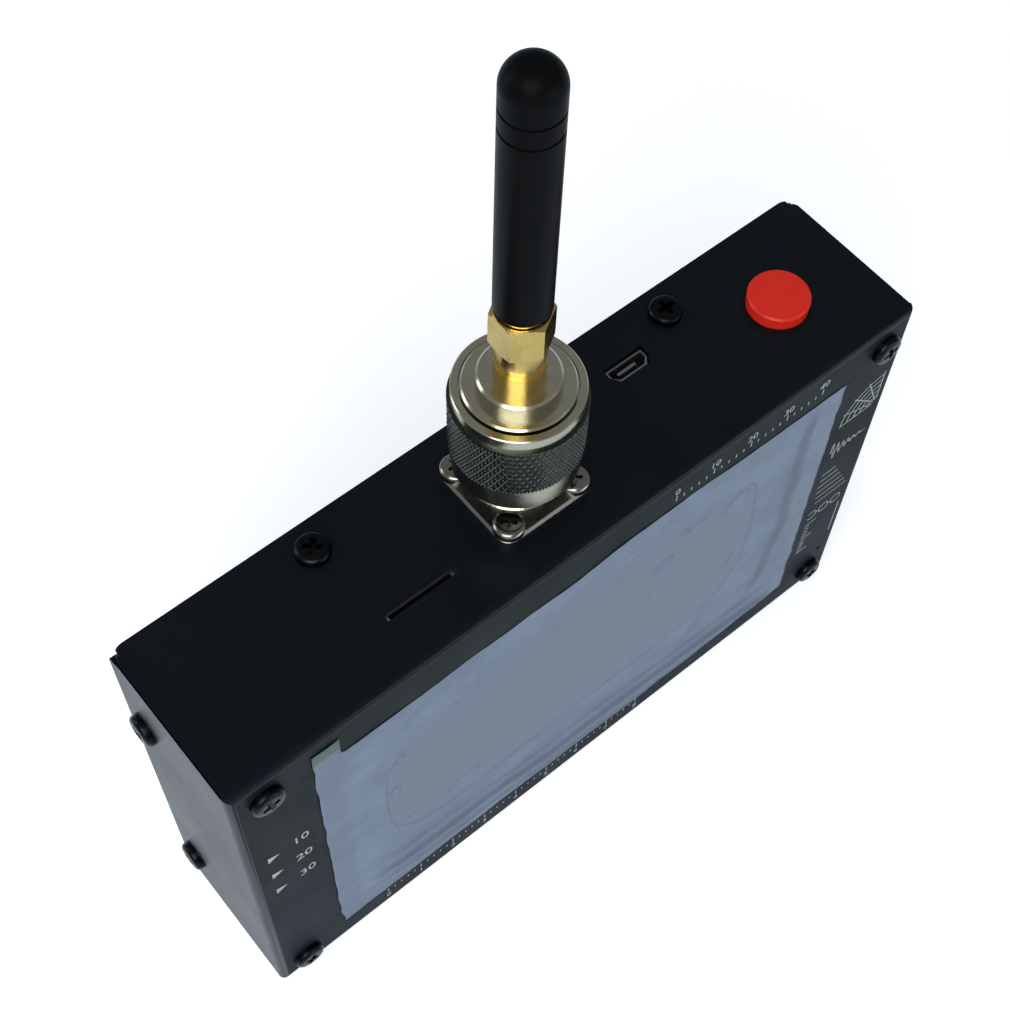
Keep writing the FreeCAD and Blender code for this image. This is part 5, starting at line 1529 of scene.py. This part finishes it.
@dataclass
class PanelPrint:
    """Generic print in a pale ink: arrows with figures, two ruled scales and a fan of arcs."""

    ticks: TickMaker
    front: float = -15.02
    back: float = -14.98
    arrow_x: float = -63.5
    arrow_z: Point = (59.4, 52.2, 45.0)
    figure_x: float = -58.4
    line: float = 0.22
    left: float = 55.6
    right: float = 65.4
    fan: float = 63.6
    wave: float = 55.2
    ladder: float = 47.6
    rings: float = 32.6
    ruler: float = 18.4

    def drawn(self, *points: Place, width: float | None = None, closed: bool = False) -> bpy.types.Mesh:
        """A printed line, of the usual width unless another is given."""
        return stroke(points, width or self.line, self.front, self.back, closed)

    def ruled(self, x: float, z: float, count: int, spacing: float, marks: Place,
              upright: int = 0) -> bpy.types.Mesh:
        """A row of printed scale marks.

        Args:
            x: Where it starts across.
            z: Where it starts up.
            count: How many marks it has.
            spacing: Distance from mark to mark.
            marks: Length of a long mark and of a short one.
            upright: 1 where the marks follow each other up the panel, 0 where they go across it.

        Returns:
            The printed mesh.
        """
        return self.ticks.make((x, (self.front + self.back) / 2, z), count, spacing, marks, self.line,
                               self.back - self.front, upright)

    def arrows(self) -> list[bpy.types.Mesh]:
        """Three small arrows with plain figures beside them.

        Returns:
            The printed meshes.
        """
        heads = [prism([(self.arrow_x - 1.0, z - 0.95), (self.arrow_x + 1.1, z), (self.arrow_x - 1.0, z + 0.95)],
                       self.front, self.back) for z in self.arrow_z]
        return heads + [figure(text, 3.2, self.figure_x, z - 1.1, self.front, self.back)
                        for text, z in zip(("10", "20", "30"), self.arrow_z)]

    def scale(self, start: float, foot: float, spacing: float, figures: Sequence[int], size: float,
              beside: float) -> list[bpy.types.Mesh]:
        """A ruled scale with plain figures at its long marks.

        Args:
            start: Where it starts across.
            foot: The foot of its marks.
            spacing: Distance from mark to mark.
            figures: The figures.
            size: Size of the figures.
            beside: The foot of the figures.

        Returns:
            The printed meshes.
        """
        every = self.ticks.EVERY
        marks = [self.ruled(start, foot, every * (len(figures) - 1) + 1, spacing, (1.5, 0.8))]
        return marks + [figure(str(value), size, start + every * spacing * k, beside, self.front, self.back)
                        for k, value in enumerate(figures)]

    def margin(self) -> list[bpy.types.Mesh]:
        """Thin-line ornament in the right margin: a fan of arcs, a damped wave and an upright scale.

        Returns:
            The printed meshes.
        """
        left, right = self.left, self.right

        def turned(angle: float) -> Place:
            """Cosine and sine of an angle in degrees."""
            return math.cos(math.radians(angle)), math.sin(math.radians(angle))

        marks: list[bpy.types.Mesh] = []
        for radius in (2.2, 3.8, 5.4, 7.0, 8.6):
            marks.append(self.drawn(*((right - radius * c, self.fan + radius * s)
                                      for c, s in map(turned, range(0, 91, 6)))))
        for c, s in map(turned, (0.0, 22.5, 45.0, 67.5, 90.0)):
            marks.append(self.drawn(*((right - reach * c, self.fan + reach * s) for reach in (1.0, 9.4))))
        marks.append(self.drawn(*((left + 1.0 + 8.0 * t / 60, self.wave + 3.4 * math.exp(-t / 26.0)
                                   * math.sin(t * 0.62)) for t in range(61))))
        marks.append(self.drawn((left, self.wave), (right, self.wave), width=0.6 * self.line))
        for k in range(6):
            z = self.ladder - 2.1 * k
            marks.append(self.drawn((left + 0.3 * k, z), (right - 1.1 * (5 - k), z)))
        for k in range(3):
            marks.append(self.drawn(*((left + 1.8 + 3.1 * k + 1.25 * c, self.rings + 1.25 * s)
                                      for c, s in map(turned, range(0, 360, 20))), closed=True))
        marks.append(self.ruled(left + 0.4, self.ruler, 11, 1.1, (3.4, 1.8), 1))
        marks.append(self.drawn((right, self.ruler), (right, self.ruler + 11.0)))
        return marks

    def make(self) -> None:
        """Prints the panel."""
        meshes = self.arrows() + self.scale(16.0, 81.9, 1.6, range(0, 50, 10), 2.3, 83.9)
        meshes += self.scale(-44.0, 5.2, 1.5, range(9), 2.1, 2.9) + self.margin()
        mesh = kept(opened(meshes), bpy.data.meshes.new("panel_print"))
        stand_in(plain_object("panel_print", mesh), Body.CASE, "black_sheet", PRINT)


class Socket:
    """The micro socket behind its opening in the top wall."""

    def make(self) -> None:
        """Dresses the socket."""
        restyled("usb_socket", "micro_socket", Body.CASE, "zinc", ZINC)


class Button:
    """The red push button."""

    def make(self) -> None:
        """Dresses the cap."""
        restyled("power_button", "push_button", Body.BUTTON, "red_plastic", RED_CAP)


@dataclass
class PanelJack:
    """The square-flanged jack, its thread and its four screws."""

    screws: ScrewMaker
    ridges: RidgeMaker
    half_pitch: float = 6.35
    seat: float = 1.9
    head: Place = (2.55, 1.5)
    shank: Place = (1.25, 6.4)
    recess: Point = (1.7, 0.72, 0.9)
    thread: Place = (5.0, 13.3)
    crest: float = 7.94
    root: float = 7.42
    lead: float = 1.058
    columns: int = 72

    def make(self) -> None:
        """Makes the body, the thread and the screws."""
        restyled("jack_body", "jack_flange", Body.CASE, "dark_nickel", DARK_NICKEL, 28.0,
                 slimmed(self.thread[0] - 0.6, self.crest, 0.05, self.root - 0.02))
        thread = self.ridges.thread("jack_thread", self.thread, self.root, self.crest, self.lead, self.columns,
                                    BRIGHT_NICKEL)
        stand_in(thread, Body.CASE, "dark_nickel", None)
        places = [ScrewPlace((AXIS[0] + sx * self.half_pitch, AXIS[1] + sy * self.half_pitch, TOP + self.seat),
                             (0, 0, 1)) for sx in (-1, 1) for sy in (-1, 1)]
        heads = self.screws.make("flange_screws", places, self.head, self.shank, self.recess, 5, FLANGE_SCREW)
        stand_in(heads, Body.CASE, "dark_nickel", None, "jack_screws")


@dataclass
class CouplingNut:
    """The knurled coupling nut of the adapter."""

    ridges: RidgeMaker
    knurl: Place = (13.6, 24.15)
    crest: float = 10.2
    valley: float = 9.88
    core: float = 9.85
    around: int = 58
    up: int = 5

    def make(self) -> None:
        """Makes the turned nut and its knurl."""
        restyled("coupling_nut", "nut_turning", Body.NUT, "bright_nickel", BRIGHT_NICKEL, 26.0,
                 slimmed(0.0, self.crest, 0.05, self.core))
        period = Ridges.KNURL.value[1]
        # The knurl takes the darker nickel, with its painted shade and painted reflection.
        knurl = self.ridges.make("nut_knurl", Ridges.KNURL, self.knurl, (self.core, self.valley, self.crest),
                                 (period * self.around, period * self.up + 2), 0.0, SHADED_KNURL_NICKEL)
        stand_in(knurl, Body.NUT, "bright_nickel", None)


@dataclass
class Adapter:
    """The turned adapter body and the small threaded jack that stands on it."""

    ridges: RidgeMaker
    thread: Place = (34.2, 39.1)
    crest: float = 3.17
    root: float = 2.82
    lead: float = 0.706
    columns: int = 48

    def make(self) -> None:
        """Makes the adapter's visible turned pieces."""
        restyled("adapter_body", "adapter_turning", Body.ADAPTER, "bright_nickel", BRIGHT_NICKEL, 26.0)
        restyled("small_jack", "small_barrel", Body.ADAPTER, "gold", GOLD, 26.0,
                 slimmed(self.thread[0] - 0.3, self.crest, 0.02, self.root - 0.01))
        thread = self.ridges.thread("small_thread", self.thread, self.root, self.crest, self.lead, self.columns,
                                    GOLD)
        stand_in(thread, Body.ADAPTER, "gold", None)


class Antenna:
    """The stub antenna: its gold hexagon nut, ferrule and rubber sheath."""

    def make(self) -> None:
        """Dresses the antenna's visible pieces."""
        restyled("antenna_nut", "hexagon_nut", Body.ANTENNA_NUT, "gold", NUT_GOLD, 24.0)
        restyled("antenna_ferrule", "whip_ferrule", Body.ANTENNA, "gold", GOLD, 26.0)
        restyled("antenna_sheath", "whip_sheath", Body.ANTENNA, "sheath_rubber", RUBBER)


class Inside:
    """All nodes that keep their CAD shape, most of them inside the case."""

    def make(self) -> None:
        """Gives every CAD node the finish of its material slot."""
        for entry in frame["record"]["subparts"]:
            SLOT_FINISH[entry["material_slot"]].dress(frame["nodes"][entry["node"]])


# The studio

@dataclass
class Studio:
    """The pale floor, soft lamps and the camera."""

    lens: float = 62.113
    sensor: float = 36.0
    clip: float = 0.01
    stand: Point = (-95.826, -101.558, 315.621)
    turn: Point = (30.335, -1.168, -39.389)
    floor_half: float = 4.0
    floor_drop: float = -2e-5
    paper: Colour = (0.8, 0.84, 0.89)
    fade_reach: Place = (0.2, 0.7)
    fade_glow: Place = (0.5, 0.85)
    mirrored: float = 0.55
    mirror_tint: Colour = (0.64, 0.82, 1.0)
    sky_tint: Colour = (0.95, 0.98, 1.0)
    sky_strength: float = 0.3

    def floor(self) -> None:
        """Lays a pale floor that shows white where nothing shades it."""
        mesh = bpy.data.meshes.new("floor")
        mesh.from_pydata([(x * self.floor_half, y * self.floor_half, self.floor_drop)
                          for x, y in ((-1, -1), (1, -1), (1, 1), (-1, 1))], [], [(0, 1, 2, 3)])
        floor = plain_object("floor", mesh)
        material = bpy.data.materials.new("pale_floor")
        material.use_nodes = True
        nodes = Nodes(material.node_tree)
        place = nodes.put("ShaderNodeTexCoord").outputs["Object"]
        reach = nodes.put("ShaderNodeVectorMath", {"Vector": place}, operation="LENGTH")
        fade = nodes.put("ShaderNodeMapRange", {
            "Value": reach.outputs["Value"], "From Min": self.fade_reach[0], "From Max": self.fade_reach[1],
            "To Min": self.fade_glow[0], "To Max": self.fade_glow[1]})
        path = nodes.put("ShaderNodeLightPath")
        surface = nodes.put("ShaderNodeBsdfDiffuse", {"Color": self.paper}).outputs[0]
        for ray, share, colour in (("Is Camera Ray", 1.0, WHITE),
                                   ("Is Glossy Ray", self.mirrored, self.mirror_tint)):
            seen = nodes.times(nodes.times(path.outputs[ray], share), fade.outputs["Result"])
            glow = nodes.put("ShaderNodeEmission", {"Color": colour, "Strength": seen})
            both = nodes.put("ShaderNodeAddShader")
            for part, socket in zip((surface, glow.outputs[0]), both.inputs):
                nodes.feed(part, socket)
            surface = both.outputs[0]
        nodes.put("ShaderNodeOutputMaterial", {"Surface": surface})
        mesh.materials.append(material)

    def sky(self) -> None:
        """Surrounds the object with soft grey light, and shows white behind it."""
        world = bpy.data.worlds.new("studio")
        bpy.context.scene.world = world
        world.use_nodes = True
        nodes = Nodes(world.node_tree)
        path = nodes.put("ShaderNodeLightPath")
        soft = nodes.put("ShaderNodeBackground", {"Color": self.sky_tint, "Strength": self.sky_strength})
        white = nodes.put("ShaderNodeBackground", {"Color": WHITE, "Strength": 1.0})
        mix = nodes.put("ShaderNodeMixShader")
        for part, socket in zip((path.outputs["Is Camera Ray"], soft.outputs[0], white.outputs[0]), mix.inputs):
            nodes.feed(part, socket)
        nodes.put("ShaderNodeOutputWorld", {"Surface": mix.outputs[0]})

    def lamp(self, name: str, place: Point, height: float, size: Place, power: float, colour: Colour) -> None:
        """Hangs one soft lamp.

        Args:
            name: Name of the lamp.
            place: Where it hangs, in millimetres.
            height: What height over the middle of the floor it faces, in millimetres.
            size: Its width and height in millimetres.
            power: Its power in watts.
            colour: Its colour.
        """
        light = bpy.data.lights.new(name, "AREA")
        light.shape = "RECTANGLE"
        light.size, light.size_y = size[0] * MM, size[1] * MM
        light.energy = power
        light.color = colour
        holder = plain_object(name, light)
        spot = Vector(place) * MM
        holder.location = spot
        holder.rotation_euler = (Vector((0, 0, height)) * MM - spot).to_track_quat("-Z", "Y").to_euler()

    def camera(self) -> None:
        """Places the camera at the photograph's viewpoint."""
        data = bpy.data.cameras.new("camera")
        data.lens = self.lens
        data.sensor_width = self.sensor
        data.clip_start = self.clip
        camera = plain_object("camera", data)
        camera.location = Vector(self.stand) * MM
        camera.rotation_euler = [math.radians(a) for a in self.turn]
        bpy.context.scene.camera = camera

    def make(self) -> None:
        """Sets up the whole studio."""
        self.floor()
        self.sky()
        self.camera()
        self.lamp("key", (-420, -330, 620), 60, (560, 560), 4.2, (1.0, 0.99, 0.97))
        self.lamp("front_strip", (260, -640, 190), 50, (500, 120), 1.0, (0.96, 0.98, 1.0))
        self.lamp("back_fill", (-380, 440, 330), 90, (220, 420), 0.8, (1.0, 0.98, 0.95))
        bpy.context.scene.view_settings.view_transform = "Standard"


def main() -> None:
    """Builds every sub-assembly in order and reports each one."""
    logging.basicConfig(level=logging.INFO, format="%(name)s: %(message)s")
    screws, ridges, ticks = ScrewMaker(), RidgeMaker(), TickMaker()
    pieces: list[object] = [
        Inside(), Case(), CaseScrews(screws), ScreenFilm(), PanelPrint(ticks), Socket(), Button(),
        PanelJack(screws, ridges), CouplingNut(ridges), Adapter(ridges), Antenna(), Studio()]
    for piece in pieces:
        before = set(bpy.data.objects)
        piece.make()
        fresh = sorted(o.name for o in bpy.data.objects if o not in before)
        LOG.info("%s: %s", type(piece).__name__, ", ".join(fresh) or "finishes only")


if __name__ == "__main__":
    main()
